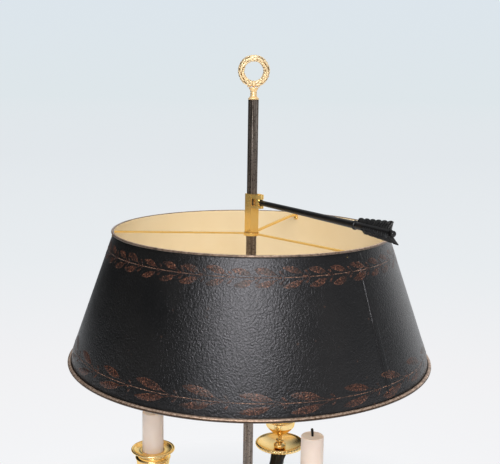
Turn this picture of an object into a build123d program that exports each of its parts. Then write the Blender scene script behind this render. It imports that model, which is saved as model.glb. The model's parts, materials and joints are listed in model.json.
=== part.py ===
"""Bouillotte lamp: a three-candle table lamp with a painted tole shade that slides on a square stem.

The shade hangs on a brass sleeve by three spider strips. A cam lever in the shape of an arrow turns on a
vertical pin in the sleeve's fork, and its nose presses the stem to hold the shade at a height.

Frame: origin at the centre of the felt's underside, +Z up the stem, the arrow pointing to -Y at rest.
Every length is in millimetres and every angle in degrees.
"""

import math
import os

from build123d import *

# Dished base, from the felt up
felt_thickness = 1.5
felt_inset = 2.0  # the felt stops short of the foot's edge
foot_radius = 116.0
foot_band_height = 5.0
foot_band_width = 4.0
tray_wall_radius = 109.0
tray_wall_thickness = 3.5
tray_wall_height = 12.0  # from the cove's top to the tray's lip
cove_height = 5.0
tray_floor_drop = 8.0  # lip to floor
tray_floor_thickness = 3.5
tray_floor_bend = 5.5  # width of the slope between wall and floor
plinth_radius = 44.0
plinth_slope = 4.0
plinth_height = 6.0

# Flared border round the tray wall
border_height = 16.0
border_flare = 11.0  # the border's lip beyond the tray wall
border_seat_width = 3.0
border_knee_width = 8.2  # where the flare turns up, beyond the tray wall
border_knee_height = 6.4
border_lip_edge = 1.5
border_lip_flat = 3.0

# Iron weight in the hollow under the tray
weight_outer_clearance = 4.0
weight_inner_radius = 22.0
weight_screw_radius = 2.0
weight_screw_head_radius = 4.0
weight_screw_head_height = 2.5
weight_screw_circle = 62.0
weight_screw_bite = 2.0  # depth in the tray floor

# Tie rod, nut and washer that clamp the whole column
rod_radius = 3.0
rod_clearance = 0.6
washer_radius = 10.0
washer_thickness = 1.5
nut_across_flats = 10.0
nut_height = 5.0
rod_tail = 1.5  # rod below the nut

# Column of turned pieces
column_foot_radius = 34.0
column_foot_band = 3.5
column_foot_step = 3.0  # from the band in to the hollow sweep
column_foot_height = 31.5
column_waist_radius = 13.5
column_ring_radius = 15.0
column_ring_height = 4.0
column_ring_slope = 2.0
shaft_ring_radius = 15.5
shaft_ring_height = 4.0
shaft_ring_slope = 2.0
shaft_lower_radius = 12.5
shaft_upper_radius = 9.5
shaft_head_height = 6.0
shaft_head_ring = 2.5
shaft_height = 51.0
hub_end_radius = 13.5
hub_belly_radius = 21.0
hub_height = 28.0
hub_belly_height = 14.0
cap_radius = 18.0
cap_under_slope = 2.5
cap_band_height = 3.5
cap_shoulder_radius = 11.5
cap_shoulder_height = 10.0  # above the hub
cap_neck_radius = 8.5
cap_lip_radius = 10.0
cap_lip_height = 3.5
cap_lip_slope = 3.0
cap_height = 24.0
stem_socket_depth = 13.0

# Square stem
stem_side = 8.0
stem_height = 594.1  # its top above the table

# Three candle arms, each let into the hub by a tongue and pinned by a screw
arm_count = 3
arm_front_angle = -90.0
candle_circle_radius = 105.5
arm_seat_depth = 2.0  # flat milled in the hub's belly for each arm
arm_seat_margin = 0.5  # the flat beyond the arm's pad
arm_root_radius = 5.6
arm_waist_radius = 5.0
arm_waist_share = 0.35  # where the arm is thinnest, as a share of its curve
arm_top_radius = 7.9
arm_sides = 8
arm_sections = 8
arm_dip_reach = 38.0  # first handle of the arm's curve, outward and down
arm_dip_depth = 38.0
arm_lean_in = 19.0  # second handle, inward and down from the pan
arm_lean_drop = 42.0
arm_pad_radius = 7.6
arm_pad_thickness = 2.5
tongue_width = 6.0
tongue_height = 9.0
tongue_end_margin = 1.9  # tongue beyond the screw, towards the rod
arm_screw_radius = 1.5
arm_screw_head_radius = 2.8
arm_screw_head_height = 1.8
arm_screw_edge = 0.8  # screw head to the edge of the hub's top
calyx_outer_radius = 9.6
calyx_inner_radius = 7.9
calyx_leaves = 8
calyx_height = 3.5

# Candle fittings, stacked on each arm
pan_height = 163.5  # underside of the drip pans above the table
stud_radius = 2.5
stud_length = 8.0
pan_radius = 30.5
pan_wall = 2.0
pan_floor_radius = 9.0
pan_band_height = 5.0
pan_band_width = 1.6
pan_depth = 9.1  # floor to rim
knop_foot_radius = 6.0
knop_radius = 8.0
knop_top_radius = 3.8
knop_sides = 8
knop_height = 8.5
knop_belt_low = 3.0  # the knop's widest belt, above the pan's floor
knop_belt_high = 5.1
knop_ball_radius = 4.4
knop_ball_height = 5.0
knop_ball_belt = 1.5
knop_neck_radius = 2.6
knop_neck_height = 4.5
socket_foot_radius = 4.2
socket_body_radius = 17.2
socket_bowl_height = 12.0
socket_bowl_swell = 1.3  # the bowl's bulge beyond a straight cone
socket_shoulder_radius = 18.8
socket_shoulder_drop = 5.0  # below the socket's mouth
socket_mouth_radius = 16.4
socket_mouth_height = 2.0
socket_height = 25.5
socket_floor = 9.0
socket_stud_radius = 2.0
socket_stud_length = 3.0
nozzle_rim_radius = 24.0
nozzle_rise = 5.3  # socket's mouth to the rim's top
nozzle_neck_radius = 16.0
nozzle_neck_height = 1.2
nozzle_lip = 2.2
nozzle_lip_edge = 0.7
nozzle_lip_width = 2.8
nozzle_dish_radius = 15.1
nozzle_dish_depth = 2.6
nozzle_tube_length = 12.0
nozzle_tube_wall = 1.5
candle_radius = 11.5
candle_clearance = 0.1
candle_edge = 0.8
candle_tops = (260.8, 266.0, 256.5)  # above the table: front, right, left
wick_radius = 0.8
wick_length = 7.5

# Shade
shade_rim_height = 457.6  # the plane of its top rim above the table
shade_height = 139.4
shade_top_radius = 148.0
shade_bottom_radius = 195.0
sheet_thickness = 0.8
top_wire_radius = 1.5
bottom_wire_radius = 2.2
wire_sides = 6
wall_inset_top = 2.5  # sheet inside the top wire's outer edge
wall_inset_bottom = 3.7
steep_height = 9.0  # above the bottom wire the sheet stands steeper
steep_width = 1.9
seam_angle = -85.5
seam_width = 9.0
seam_thickness = 0.6

# Sleeve and fork
sleeve_side = 10.5
sleeve_clearance = 0.06  # each side of the stem
sleeve_above_rim = 37.9
sleeve_below_rim = 3.7
fork_top_thickness = 4.7
fork_gap = 6.8
fork_bottom_thickness = 2.9
fork_width = 10.0
window_width = 8.4  # cut in the sleeve's front wall for the cam's nose
pivot_offset = 12.0  # pin axis to stem axis
pin_radius = 1.6
pin_head_radius = 2.6
pin_head_height = 1.0
pin_clearance = 0.05

# Spider that carries the shade
spider_hub_radius = 8.5
spider_hub_thickness = 3.0
strip_width = 4.0
strip_thickness = 1.5
strip_seat = 2.0  # strip let into the hub
strip_rise = 2.5  # from the hub to the rim
strip_foot_length = 8.0
strip_sheet_gap = 0.02
strip_rivet_drop = 5.4  # rivet below the strip's end at the rim
rivet_radius = 1.1
rivet_head_radius = 2.0
rivet_head_height = 0.8
rivet_proud = 0.3  # rivet's end outside the sheet

# Arrow lever
cam_clearance = 0.1  # above and below the cam in the fork
cam_eye_radius = 4.0
cam_nose_radius = 2.5
cam_stem_gap = 0.15
cam_boss_radius = 3.2
cam_boss_reach = 4.6
arrow_droop = 2.0
shaft_root_radius = 2.75
shaft_tail_radius = 3.55
shaft_tenon_radius = 1.8
shaft_tenon_length = 2.2
fletching_start = 143.0  # along the arrow from the pin
fletching_length = 43.5
fletching_bead_radius = 4.4
fletching_bead_length = 3.5
fletching_bore_depth = 20.0
vane_count = 3
vane_first_turn = 18.0  # from upright about the arrow, towards +X
vane_front_height = 8.6
vane_tail_height = 12.6
vane_lobes = 6
vane_lobe_steps = 4
vane_notch = 1.7
vane_thickness = 2.4
nock_neck_radius = 2.2
nock_radius = 3.0
nock_end_radius = 1.8
nock_swell_length = 3.0
nock_length = 5.0

# Finial
finial_foot_radius = 5.35
finial_foot_band = 1.6
finial_neck_radius = 3.0
finial_neck_height = 6.2  # above the stem's top
finial_disc_radius = 4.4
finial_disc_height = 1.7
finial_height = 12.4
finial_stud_radius = 2.0
finial_stud_length = 8.0
wreath_outer_radius = 16.75
wreath_tube_radius = 3.6
wreath_sides = 6
wreath_seat_radius = 3.3
wreath_pin_radius = 1.5
wreath_pin_length = 4.0
wreath_turn = -34.0  # the wreath's face turned from -Y about the stem

# Facets of a quarter sweep in the turned pieces
sweep_steps = 3

# Levels above the table and places that follow from the sizes
cove_top = felt_thickness + foot_band_height + cove_height
tray_lip = cove_top + tray_wall_height
floor_top = tray_lip - tray_floor_drop
ceiling = floor_top - tray_floor_thickness
plinth_top = floor_top + plinth_height
shaft_bottom = plinth_top + column_foot_height
hub_bottom = shaft_bottom + shaft_height
hub_top = hub_bottom + hub_height
cap_top = hub_top + cap_height
stem_foot = cap_top - stem_socket_depth
bore_radius = rod_radius + rod_clearance
arm_root_level = hub_bottom + hub_height / 2
arm_seat = hub_belly_radius - arm_seat_depth
arm_screw_circle = hub_end_radius - arm_screw_head_radius - arm_screw_edge
arm_angles = [arm_front_angle + 360 / arm_count * k for k in range(arm_count)]
pan_floor = pan_height + pan_wall
pan_rim = pan_floor + pan_depth
ball_low = pan_floor + knop_height
ball_high = ball_low + knop_ball_height
knop_top = ball_high + knop_neck_height
socket_mouth = knop_top + socket_height
nozzle_rim = socket_mouth + nozzle_rise
tube_inner = candle_radius + candle_clearance
tube_outer = tube_inner + nozzle_tube_wall
candle_seat = knop_top + socket_floor
shade_low = shade_rim_height - shade_height
sleeve_top = shade_rim_height + sleeve_above_rim
sleeve_bore = stem_side + 2 * sleeve_clearance
fork_high = sleeve_top - fork_top_thickness
fork_low = fork_high - fork_gap
fork_foot = fork_low - fork_bottom_thickness
pivot_level = fork_low + fork_gap / 2
spider_top = shade_rim_height - sleeve_below_rim
strip_end_level = spider_top + strip_rise
bead_start = fletching_start - fletching_bead_length
fletching_end = fletching_start + fletching_length


def turned(*outline):
    """A solid of revolution about the stem's axis from a closed outline of (radius, height) points."""
    return revolve(Plane.XZ * make_face(Polyline(*outline, close=True)), Axis.Z)


def hollow_sweep(start, end):
    """Points of a hollow quarter sweep, level at its start and upright at its end."""
    points = []
    for step in range(sweep_steps + 1):
        turn = math.pi / 2 * step / sweep_steps
        radius = end[0] + (start[0] - end[0]) * (1 - math.sin(turn))
        points.append((radius, start[1] + (end[1] - start[1]) * (1 - math.cos(turn))))
    return points


def at_arms(piece):
    """A copy of a piece, modelled on the +X side, at each arm's angle."""
    return [Rot(0, 0, angle) * piece for angle in arm_angles]


def cylinder_up(radius, low, high):
    """A cylinder about the stem's axis between two heights."""
    return Pos(0, 0, (low + high) / 2) * Cylinder(radius, high - low)


def box_up(side_x, side_y, low, high):
    """A box about the stem's axis between two heights."""
    return Pos(0, 0, (low + high) / 2) * Box(side_x, side_y, high - low)


def ring_up(outer, inner, low, high):
    """A plain ring about the stem's axis between two heights."""
    return cylinder_up(outer, low, high) - cylinder_up(inner, low, high)


# ---------------------------------------------------------------- base


def base_felt():
    """The felt disc that the lamp stands on."""
    return cylinder_up(foot_radius - felt_inset, 0, felt_thickness)


def weight_screw():
    """A flat-headed screw on the +X side, up through the weight into the tray floor."""
    head = cylinder_up(weight_screw_head_radius, felt_thickness, felt_thickness + weight_screw_head_height)
    shank = cylinder_up(weight_screw_radius, felt_thickness, ceiling + weight_screw_bite)
    return Pos(weight_screw_circle, 0, 0) * (head + shank)


def base_dish(screws):
    """The round tray: foot band, cove, wall, floor and a low plinth for the column, hollow beneath."""
    inner_foot = foot_radius - foot_band_width
    band_top = felt_thickness + foot_band_height
    lip_inner = tray_wall_radius - tray_wall_thickness
    dish = turned(
        (foot_radius, felt_thickness),
        (foot_radius, band_top),
        (tray_wall_radius, cove_top),
        (tray_wall_radius, tray_lip),
        (lip_inner, tray_lip),
        (lip_inner - tray_floor_bend, floor_top),
        (plinth_radius, floor_top),
        (plinth_radius - plinth_slope, plinth_top),
        (bore_radius, plinth_top),
        (bore_radius, ceiling),
        (lip_inner, ceiling),
        (inner_foot, band_top),
        (inner_foot, felt_thickness),
    )
    for screw in screws:
        dish -= screw
    return dish


def base_border():
    """The flared border cast in one ring, seated on the foot's cove round the tray wall."""
    top = cove_top + border_height
    lip_outer = tray_wall_radius + border_flare
    return turned(
        (tray_wall_radius, cove_top),
        (tray_wall_radius + border_seat_width, cove_top),
        (tray_wall_radius + border_knee_width, cove_top + border_knee_height),
        (lip_outer, top - border_lip_edge),
        (lip_outer - border_lip_edge, top),
        (lip_outer - border_lip_edge - border_lip_flat, top),
        (tray_wall_radius, tray_lip),
    )


def base_weight(screws):
    """The iron ring that fills the hollow under the tray."""
    outer = tray_wall_radius - tray_wall_thickness - weight_outer_clearance
    ring = ring_up(outer, weight_inner_radius, felt_thickness, ceiling)
    for screw in screws:
        ring -= screw
    return ring


# -------------------------------------------------------------- column


def column_foot():
    """The spreading foot of the column: a band, a hollow sweep and a neck ring."""
    band_top = plinth_top + column_foot_band
    ring_low = shaft_bottom - column_ring_height
    sweep = hollow_sweep(
        (column_foot_radius - column_foot_step, band_top),
        (column_waist_radius, ring_low - column_ring_slope),
    )
    return turned(
        (bore_radius, plinth_top),
        (column_foot_radius, plinth_top),
        (column_foot_radius, band_top),
        *sweep,
        (column_ring_radius, ring_low),
        (column_ring_radius, shaft_bottom),
        (bore_radius, shaft_bottom),
    )


def column_shaft():
    """The tapered shaft between two rings."""
    ring_top = shaft_bottom + shaft_ring_height
    return turned(
        (bore_radius, shaft_bottom),
        (shaft_ring_radius, shaft_bottom),
        (shaft_ring_radius, ring_top),
        (shaft_lower_radius, ring_top + shaft_ring_slope),
        (shaft_upper_radius, hub_bottom - shaft_head_height),
        (hub_end_radius, hub_bottom - shaft_head_ring),
        (hub_end_radius, hub_bottom),
        (bore_radius, hub_bottom),
    )


def arm_tongue():
    """The tongue by which an arm is let into the hub, on the +X side."""
    end = arm_screw_circle - arm_screw_radius - tongue_end_margin
    return Pos((end + arm_seat) / 2, 0, arm_root_level) * Box(arm_seat - end, tongue_width, tongue_height)


def arm_screw():
    """The screw that pins an arm's tongue, sunk in the hub's top under the cap, on the +X side."""
    head = cylinder_up(arm_screw_head_radius, hub_top - arm_screw_head_height, hub_top)
    shank = cylinder_up(arm_screw_radius, arm_root_level - tongue_height / 2, hub_top)
    return Pos(arm_screw_circle, 0, 0) * (head + shank)


def arm_hub():
    """The hub with a milled flat, a mortise and a screw hole for each arm."""
    hub = turned(
        (bore_radius, hub_bottom),
        (hub_end_radius, hub_bottom),
        (hub_belly_radius, arm_root_level - hub_belly_height / 2),
        (hub_belly_radius, arm_root_level + hub_belly_height / 2),
        (hub_end_radius, hub_top),
        (bore_radius, hub_top),
    )
    reach = 2 * hub_belly_radius
    flat_width = 2 * (arm_pad_radius + arm_seat_margin)
    flat = Pos(arm_seat + reach / 2, 0, 0) * box_up(reach, flat_width, hub_bottom, hub_top)
    for cut in at_arms(flat) + at_arms(arm_tongue()) + at_arms(arm_screw()):
        hub -= cut
    return hub


def hub_cap():
    """The cap over the hub, with the square socket that the stem stands in."""
    band_low = hub_top + cap_under_slope
    lip_low = cap_top - cap_lip_height
    cap = turned(
        (bore_radius, hub_top),
        (hub_end_radius, hub_top),
        (cap_radius, band_low),
        (cap_radius, band_low + cap_band_height),
        (cap_shoulder_radius, hub_top + cap_shoulder_height),
        (cap_neck_radius, lip_low - cap_lip_slope),
        (cap_lip_radius, lip_low),
        (cap_lip_radius, cap_top),
        (bore_radius, cap_top),
    )
    return cap - box_up(stem_side, stem_side, stem_foot, cap_top)


def stem():
    """The square stem, turned down below its shoulder to the tie rod, and drilled on top for the finial."""
    bar = box_up(stem_side, stem_side, stem_foot, stem_height)
    rod = cylinder_up(rod_radius, ceiling - washer_thickness - nut_height - rod_tail, stem_foot)
    return bar + rod - cylinder_up(finial_stud_radius, stem_height - finial_stud_length, stem_height)


def stem_washer():
    """The washer between the nut and the tray."""
    return ring_up(washer_radius, rod_radius, ceiling - washer_thickness, ceiling)


def stem_nut():
    """The hexagon nut that draws the column together."""
    high = ceiling - washer_thickness
    low = high - nut_height
    hexagon = RegularPolygon(nut_across_flats / 2, 6, major_radius=False)
    return Pos(0, 0, low) * extrude(hexagon, nut_height) - cylinder_up(rod_radius, low, high)


# ---------------------------------------------------------------- arms


def arm_radius(share):
    """The arm's radius at a share of its curve: thinnest at the waist, thickest under the pan."""
    if share < arm_waist_share:
        return arm_root_radius + (arm_waist_radius - arm_root_radius) * share / arm_waist_share
    beyond = (share - arm_waist_share) / (1 - arm_waist_share)
    return arm_waist_radius + (arm_top_radius - arm_waist_radius) * beyond


def arm_body(root, tip):
    """The horn-shaped body between two (radius, height) points, through facetted sections."""
    curve = Bezier(
        root,
        (root[0] + arm_dip_reach, root[1] - arm_dip_depth),
        (tip[0] - arm_lean_in, tip[1] - arm_lean_drop),
        tip,
    )
    sections = []
    for k in range(arm_sections):
        share = k / (arm_sections - 1)
        point, way = curve @ share, curve % share
        # The first section lies flat on the pad and the last one level under the calyx.
        normal = (1, 0, 0) if k == 0 else (0, 0, 1) if k == arm_sections - 1 else (way.X, 0, way.Y)
        cut = Plane(origin=(point.X, 0, point.Y), x_dir=(0, 1, 0), z_dir=normal)
        sections.append(cut * RegularPolygon(arm_radius(share), arm_sides, rotation=180 / arm_sides))
    return loft(sections, ruled=True)


def calyx_star():
    """The plan of the leaf calyx: a star with a point for each leaf."""
    points = []
    for n in range(2 * calyx_leaves):
        radius = calyx_outer_radius if n % 2 else calyx_inner_radius
        turn = math.pi * n / calyx_leaves
        points.append((radius * math.cos(turn), radius * math.sin(turn)))
    return make_face(Polyline(*points, close=True))


def candle_arm():
    """One horn-shaped arm on the +X side: tongue, pad, curved tapering body and leaf calyx."""
    calyx_low = pan_height - calyx_height
    pad_middle = Pos(arm_seat + arm_pad_thickness / 2, 0, arm_root_level)
    pad = pad_middle * Rot(0, 90, 0) * Cylinder(arm_pad_radius, arm_pad_thickness)
    body = arm_body((arm_seat + arm_pad_thickness, arm_root_level), (candle_circle_radius, calyx_low))
    out = Pos(candle_circle_radius, 0, 0)
    calyx = out * Pos(0, 0, calyx_low) * extrude(calyx_star(), calyx_height)
    stud_hole = out * cylinder_up(stud_radius, pan_height - stud_length, pan_height)
    return body + pad + calyx + arm_tongue() - arm_screw() - stud_hole


# ----------------------------------------------------- candle fittings


def drip_pan():
    """The dished wax pan with its upright border band."""
    band_low = pan_rim - pan_band_height
    inner = pan_radius - pan_band_width
    return turned(
        (stud_radius, pan_height),
        (pan_floor_radius, pan_height),
        (inner, band_low),
        (pan_radius, band_low),
        (pan_radius, pan_rim),
        (inner, pan_rim),
        (inner, band_low + pan_wall),
        (pan_floor_radius, pan_floor),
        (stud_radius, pan_floor),
    )


def nozzle_knop():
    """The facetted knop, ball and neck between pan and socket, with a stud at each end."""
    levels = (
        (knop_foot_radius, pan_floor),
        (knop_radius, pan_floor + knop_belt_low),
        (knop_radius, pan_floor + knop_belt_high),
        (knop_top_radius, ball_low),
    )
    belts = [Pos(0, 0, level) * RegularPolygon(radius, knop_sides) for radius, level in levels]
    ball_middle = (ball_low + ball_high) / 2
    ball = turned(
        (0, ball_low),
        (knop_neck_radius, ball_low),
        (knop_ball_radius, ball_middle - knop_ball_belt / 2),
        (knop_ball_radius, ball_middle + knop_ball_belt / 2),
        (knop_neck_radius, ball_high),
        (knop_neck_radius, knop_top),
        (0, knop_top),
    )
    lower_stud = cylinder_up(stud_radius, pan_height - stud_length, pan_floor)
    upper_stud = cylinder_up(socket_stud_radius, knop_top, knop_top + socket_stud_length)
    return loft(belts, ruled=True) + ball + lower_stud + upper_stud


def candle_socket():
    """The urn-shaped socket, bored for the nozzle's tube and the candle."""
    bowl = []
    for step in range(sweep_steps + 1):
        share = step / sweep_steps
        cone_radius = socket_foot_radius + (socket_body_radius - socket_foot_radius) * share
        swell = socket_bowl_swell * math.sin(math.pi * share)
        bowl.append((cone_radius + swell, knop_top + socket_bowl_height * share))
    return turned(
        (0, knop_top + socket_stud_length),
        (socket_stud_radius, knop_top + socket_stud_length),
        (socket_stud_radius, knop_top),
        *bowl,
        (socket_shoulder_radius, socket_mouth - socket_shoulder_drop),
        (socket_mouth_radius, socket_mouth - socket_mouth_height),
        (socket_mouth_radius, socket_mouth),
        (tube_outer, socket_mouth),
        (tube_outer, candle_seat),
        (0, candle_seat),
    )


def candle_nozzle():
    """The loose nozzle: a flared dished rim on a tube that slips into the socket."""
    dish = nozzle_rim - nozzle_dish_depth
    tube_end = socket_mouth - nozzle_tube_length
    return turned(
        (tube_inner, tube_end),
        (tube_outer, tube_end),
        (tube_outer, socket_mouth),
        (nozzle_neck_radius, socket_mouth),
        (nozzle_neck_radius, socket_mouth + nozzle_neck_height),
        (nozzle_rim_radius - nozzle_lip_edge, nozzle_rim - nozzle_lip),
        (nozzle_rim_radius, nozzle_rim - nozzle_lip + nozzle_lip_edge),
        (nozzle_rim_radius, nozzle_rim - nozzle_lip_edge),
        (nozzle_rim_radius - nozzle_lip_edge, nozzle_rim),
        (nozzle_rim_radius - nozzle_lip_width, nozzle_rim),
        (nozzle_dish_radius, dish),
        (tube_inner, dish),
    )


def candle(top):
    """One wax candle standing on its socket's floor."""
    return turned(
        (0, candle_seat),
        (candle_radius, candle_seat),
        (candle_radius, top - candle_edge),
        (candle_radius - candle_edge, top),
        (0, top),
    )


# --------------------------------------------------------------- shade


def wire_section(rim_radius, level, radius):
    """An edge wire's cross-section in the (radius, height) plane, from its outer reach and its middle."""
    return Pos(rim_radius - radius, level) * RegularPolygon(radius, wire_sides)


def wire_sections():
    """The cross-sections of the edge wires, which end at the rim plane and at the shade's lowest level."""
    # A hexagon with corners at its sides is flat above and below.
    flat = math.cos(math.pi / wire_sides)
    top = wire_section(shade_top_radius, shade_rim_height - top_wire_radius * flat, top_wire_radius)
    bottom = wire_section(shade_bottom_radius, shade_low + bottom_wire_radius * flat, bottom_wire_radius)
    return top, bottom


def wall_points(offset):
    """The sheet's outer line as (radius, height) points, moved outward level by an offset."""
    bend_level = shade_low + 2 * bottom_wire_radius + steep_height
    top = (shade_top_radius - wall_inset_top + offset, shade_rim_height - top_wire_radius)
    bend = (shade_bottom_radius - wall_inset_bottom - steep_width + offset, bend_level)
    foot = (shade_bottom_radius - wall_inset_bottom + offset, shade_low + bottom_wire_radius)
    return top, bend, foot


def sheet_section(outer, inner):
    """The cross-section between two lines of the sheet, stopped at the edge wires."""
    section = make_face(Polyline(*outer, *reversed(inner), close=True))
    for wire in wire_sections():
        section -= wire
    return section


def shade_shell(rivets):
    """The conical sheet with its steeper foot and the lapped seam, drilled for the spider's rivets."""
    outer = wall_points(0)
    shell = revolve(Plane.XZ * sheet_section(outer, wall_points(-sheet_thickness)), Axis.Z)
    lap_turn = math.degrees(seam_width / shade_bottom_radius)
    lap = revolve(Plane.XZ * sheet_section(wall_points(seam_thickness), outer), Axis.Z, lap_turn)
    shell += Rot(0, 0, seam_angle) * lap
    for rivet in rivets:
        shell -= rivet
    return shell


def sheet_radius(level):
    """The sheet's inner radius at a height on its straight part."""
    top, bend, _ = wall_points(-sheet_thickness)
    share = (top[1] - level) / (top[1] - bend[1])
    return top[0] + (bend[0] - top[0]) * share


def wall_lean():
    """The sheet's lean from upright, in degrees."""
    top, bend, _ = wall_points(0)
    return math.degrees(math.atan2(bend[0] - top[0], top[1] - bend[1]))


# ------------------------------------------------- sleeve and spider


def fork_ear(low, high):
    """One ear of the fork: straight from the sleeve's front face to the round end about the pin."""
    length = pivot_offset - sleeve_side / 2
    straight = Pos(0, length / 2 - pivot_offset) * Rectangle(fork_width, length)
    return Pos(0, 0, low) * extrude(straight + Pos(0, -pivot_offset) * Circle(fork_width / 2), high - low)


def sleeve():
    """The square sleeve with its fork and the window through which the cam reaches the stem."""
    body = box_up(sleeve_side, sleeve_side, spider_top, sleeve_top)
    body += fork_ear(fork_high, sleeve_top) + fork_ear(fork_foot, fork_low)
    body -= box_up(sleeve_bore, sleeve_bore, spider_top, sleeve_top)
    # The window goes through the front wall alone, from outside to the bore.
    depth = sleeve_side - sleeve_bore / 2
    window = Pos(0, -sleeve_bore / 2 - depth / 2, 0) * box_up(window_width, depth, fork_low, fork_high)
    return body - window - Pos(0, -pivot_offset, 0) * cylinder_up(pin_radius, fork_foot, sleeve_top)


def pivot_pin():
    """The headed pin of the fork."""
    shank = cylinder_up(pin_radius, fork_foot, sleeve_top)
    head = cylinder_up(pin_head_radius, sleeve_top, sleeve_top + pin_head_height)
    return Pos(0, -pivot_offset, 0) * (shank + head)


def spider_strip():
    """One strip on the +X side: let into the hub, up to the rim, its foot turned down along the sheet."""
    lean = math.tan(math.radians(wall_lean()))
    # A flat strip against a round sheet stands off by the rise of the arc across its width.
    gap = strip_width**2 / (8 * shade_top_radius) + strip_sheet_gap
    start = spider_hub_radius - strip_seat
    top_end = sheet_radius(strip_end_level) - gap
    foot_level = strip_end_level - strip_foot_length
    foot_end = top_end + strip_foot_length * lean
    outline = Polyline(
        (start, spider_top),
        (top_end, strip_end_level),
        (foot_end, foot_level),
        (foot_end - strip_thickness, foot_level),
        (top_end + strip_thickness * (lean - 1), strip_end_level - strip_thickness),
        (start, spider_top - strip_thickness),
        close=True,
    )
    return extrude(Plane.XZ * make_face(outline), strip_width / 2, both=True)


def spider_rivet():
    """One rivet on the +X side, through a strip's foot and the sheet, headed inside."""
    level = strip_end_level - strip_rivet_drop
    outside = sheet_radius(level) + sheet_thickness
    inside = outside - sheet_thickness - strip_thickness
    head_middle = inside - rivet_head_height / 2
    length = outside + rivet_proud - head_middle
    shank = Pos(head_middle + length / 2, 0, level) * Rot(0, 90, 0) * Cylinder(rivet_radius, length)
    head_turn = Rot(0, 90 + wall_lean(), 0)
    return shank + Pos(head_middle, 0, level) * head_turn * Cylinder(rivet_head_radius, rivet_head_height)


def spider_hub(strips):
    """The flange under the sleeve, notched for the strips."""
    low = spider_top - spider_hub_thickness
    hub = cylinder_up(spider_hub_radius, low, spider_top)
    hub -= box_up(sleeve_bore, sleeve_bore, low, spider_top)
    for strip in strips:
        hub -= strip
    return hub


# --------------------------------------------------------------- arrow


def on_arrow(piece):
    """A piece modelled about the pin with the arrow along -Y, drooped and carried to the pin."""
    return Pos(0, -pivot_offset, pivot_level) * Rot(arrow_droop, 0, 0) * piece


def rod_along(radius, near, far):
    """A round length of the arrow between two distances from the pin."""
    return Pos(0, -(near + far) / 2, 0) * Rot(90, 0, 0) * Cylinder(radius, far - near)


def taper_along(radius_near, radius_far, near, far):
    """A tapering length of the arrow between two distances from the pin."""
    return Pos(0, -(near + far) / 2, 0) * Rot(90, 0, 0) * Cone(radius_near, radius_far, far - near)


def root_tenon():
    """The shaft's tenon in the cam's boss."""
    return rod_along(shaft_tenon_radius, cam_boss_reach - shaft_tenon_length, cam_boss_reach)


def tail_tenon():
    """The shaft's tenon in the fletching."""
    return rod_along(shaft_tenon_radius, bead_start, bead_start + fletching_bore_depth)


def lever_cam():
    """The cam: an eye on the pin, a round nose towards the stem and a socketed boss towards the arrow."""
    thickness = fork_gap - 2 * cam_clearance
    nose_centre = pivot_offset - stem_side / 2 - cam_stem_gap - cam_nose_radius
    plan = Circle(cam_eye_radius) + Pos(0, nose_centre) * Circle(cam_nose_radius)
    plan += Pos(0, nose_centre / 2) * Rectangle(2 * cam_nose_radius, nose_centre)
    at_pin = Pos(0, -pivot_offset, pivot_level)
    eye = at_pin * extrude(plan, thickness / 2, both=True)
    boss = on_arrow(rod_along(cam_boss_radius, cam_eye_radius / 2, cam_boss_reach))
    pin_hole = at_pin * Cylinder(pin_radius + pin_clearance, 2 * thickness)
    return eye + boss - on_arrow(root_tenon()) - pin_hole


def arrow_shaft():
    """The tapering shaft, tenoned into the cam and into the fletching."""
    body = taper_along(shaft_root_radius, shaft_tail_radius, cam_boss_reach, bead_start)
    return on_arrow(root_tenon() + body + tail_tenon())


def vane():
    """One feather vane standing up from the arrow: a flat blade whose lobed edge rises to the tail."""
    pitch = fletching_length / vane_lobes
    # The blade's plane holds the arrow's axis (-Y) and the upward direction.
    edge = [(-fletching_start, 0)]
    for lobe in range(vane_lobes):
        height = vane_front_height + (vane_tail_height - vane_front_height) * (lobe + 1) / vane_lobes
        for step in range(vane_lobe_steps):
            share = step / vane_lobe_steps
            dip = vane_notch * (1 - math.sin(math.pi * share))
            edge.append((-fletching_start - (lobe + share) * pitch, height - dip))
    edge += [(-fletching_end, vane_tail_height - vane_notch), (-fletching_end, 0)]
    return extrude(Plane.YZ * make_face(Polyline(*edge, close=True)), vane_thickness / 2, both=True)


def arrow_fletching():
    """The cast tail: bead, core, three vanes and the nock."""
    tail = rod_along(fletching_bead_radius, bead_start, fletching_start)
    tail += rod_along(shaft_tail_radius, fletching_start, fletching_end)
    for turn in range(vane_count):
        tail += Rot(0, vane_first_turn + 360 / vane_count * turn, 0) * vane()
    swell_end = fletching_end + nock_swell_length
    tail += taper_along(nock_neck_radius, nock_radius, fletching_end, swell_end)
    tail += taper_along(nock_radius, nock_end_radius, swell_end, fletching_end + nock_length)
    return on_arrow(tail - tail_tenon())


# -------------------------------------------------------------- finial


def finial_foot():
    """The turned foot under the wreath, with its stud in the stem."""
    low = stem_height
    top = low + finial_height
    neck = hollow_sweep(
        (finial_foot_radius, low + finial_foot_band),
        (finial_neck_radius, low + finial_neck_height),
    )
    foot = turned(
        (0, low - finial_stud_length),
        (finial_stud_radius, low - finial_stud_length),
        (finial_stud_radius, low),
        (finial_foot_radius, low),
        *neck,
        (finial_disc_radius, top - finial_disc_height),
        (finial_disc_radius, top),
        (0, top),
    )
    return foot - cylinder_up(wreath_pin_radius, top - wreath_pin_length, top)


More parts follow.
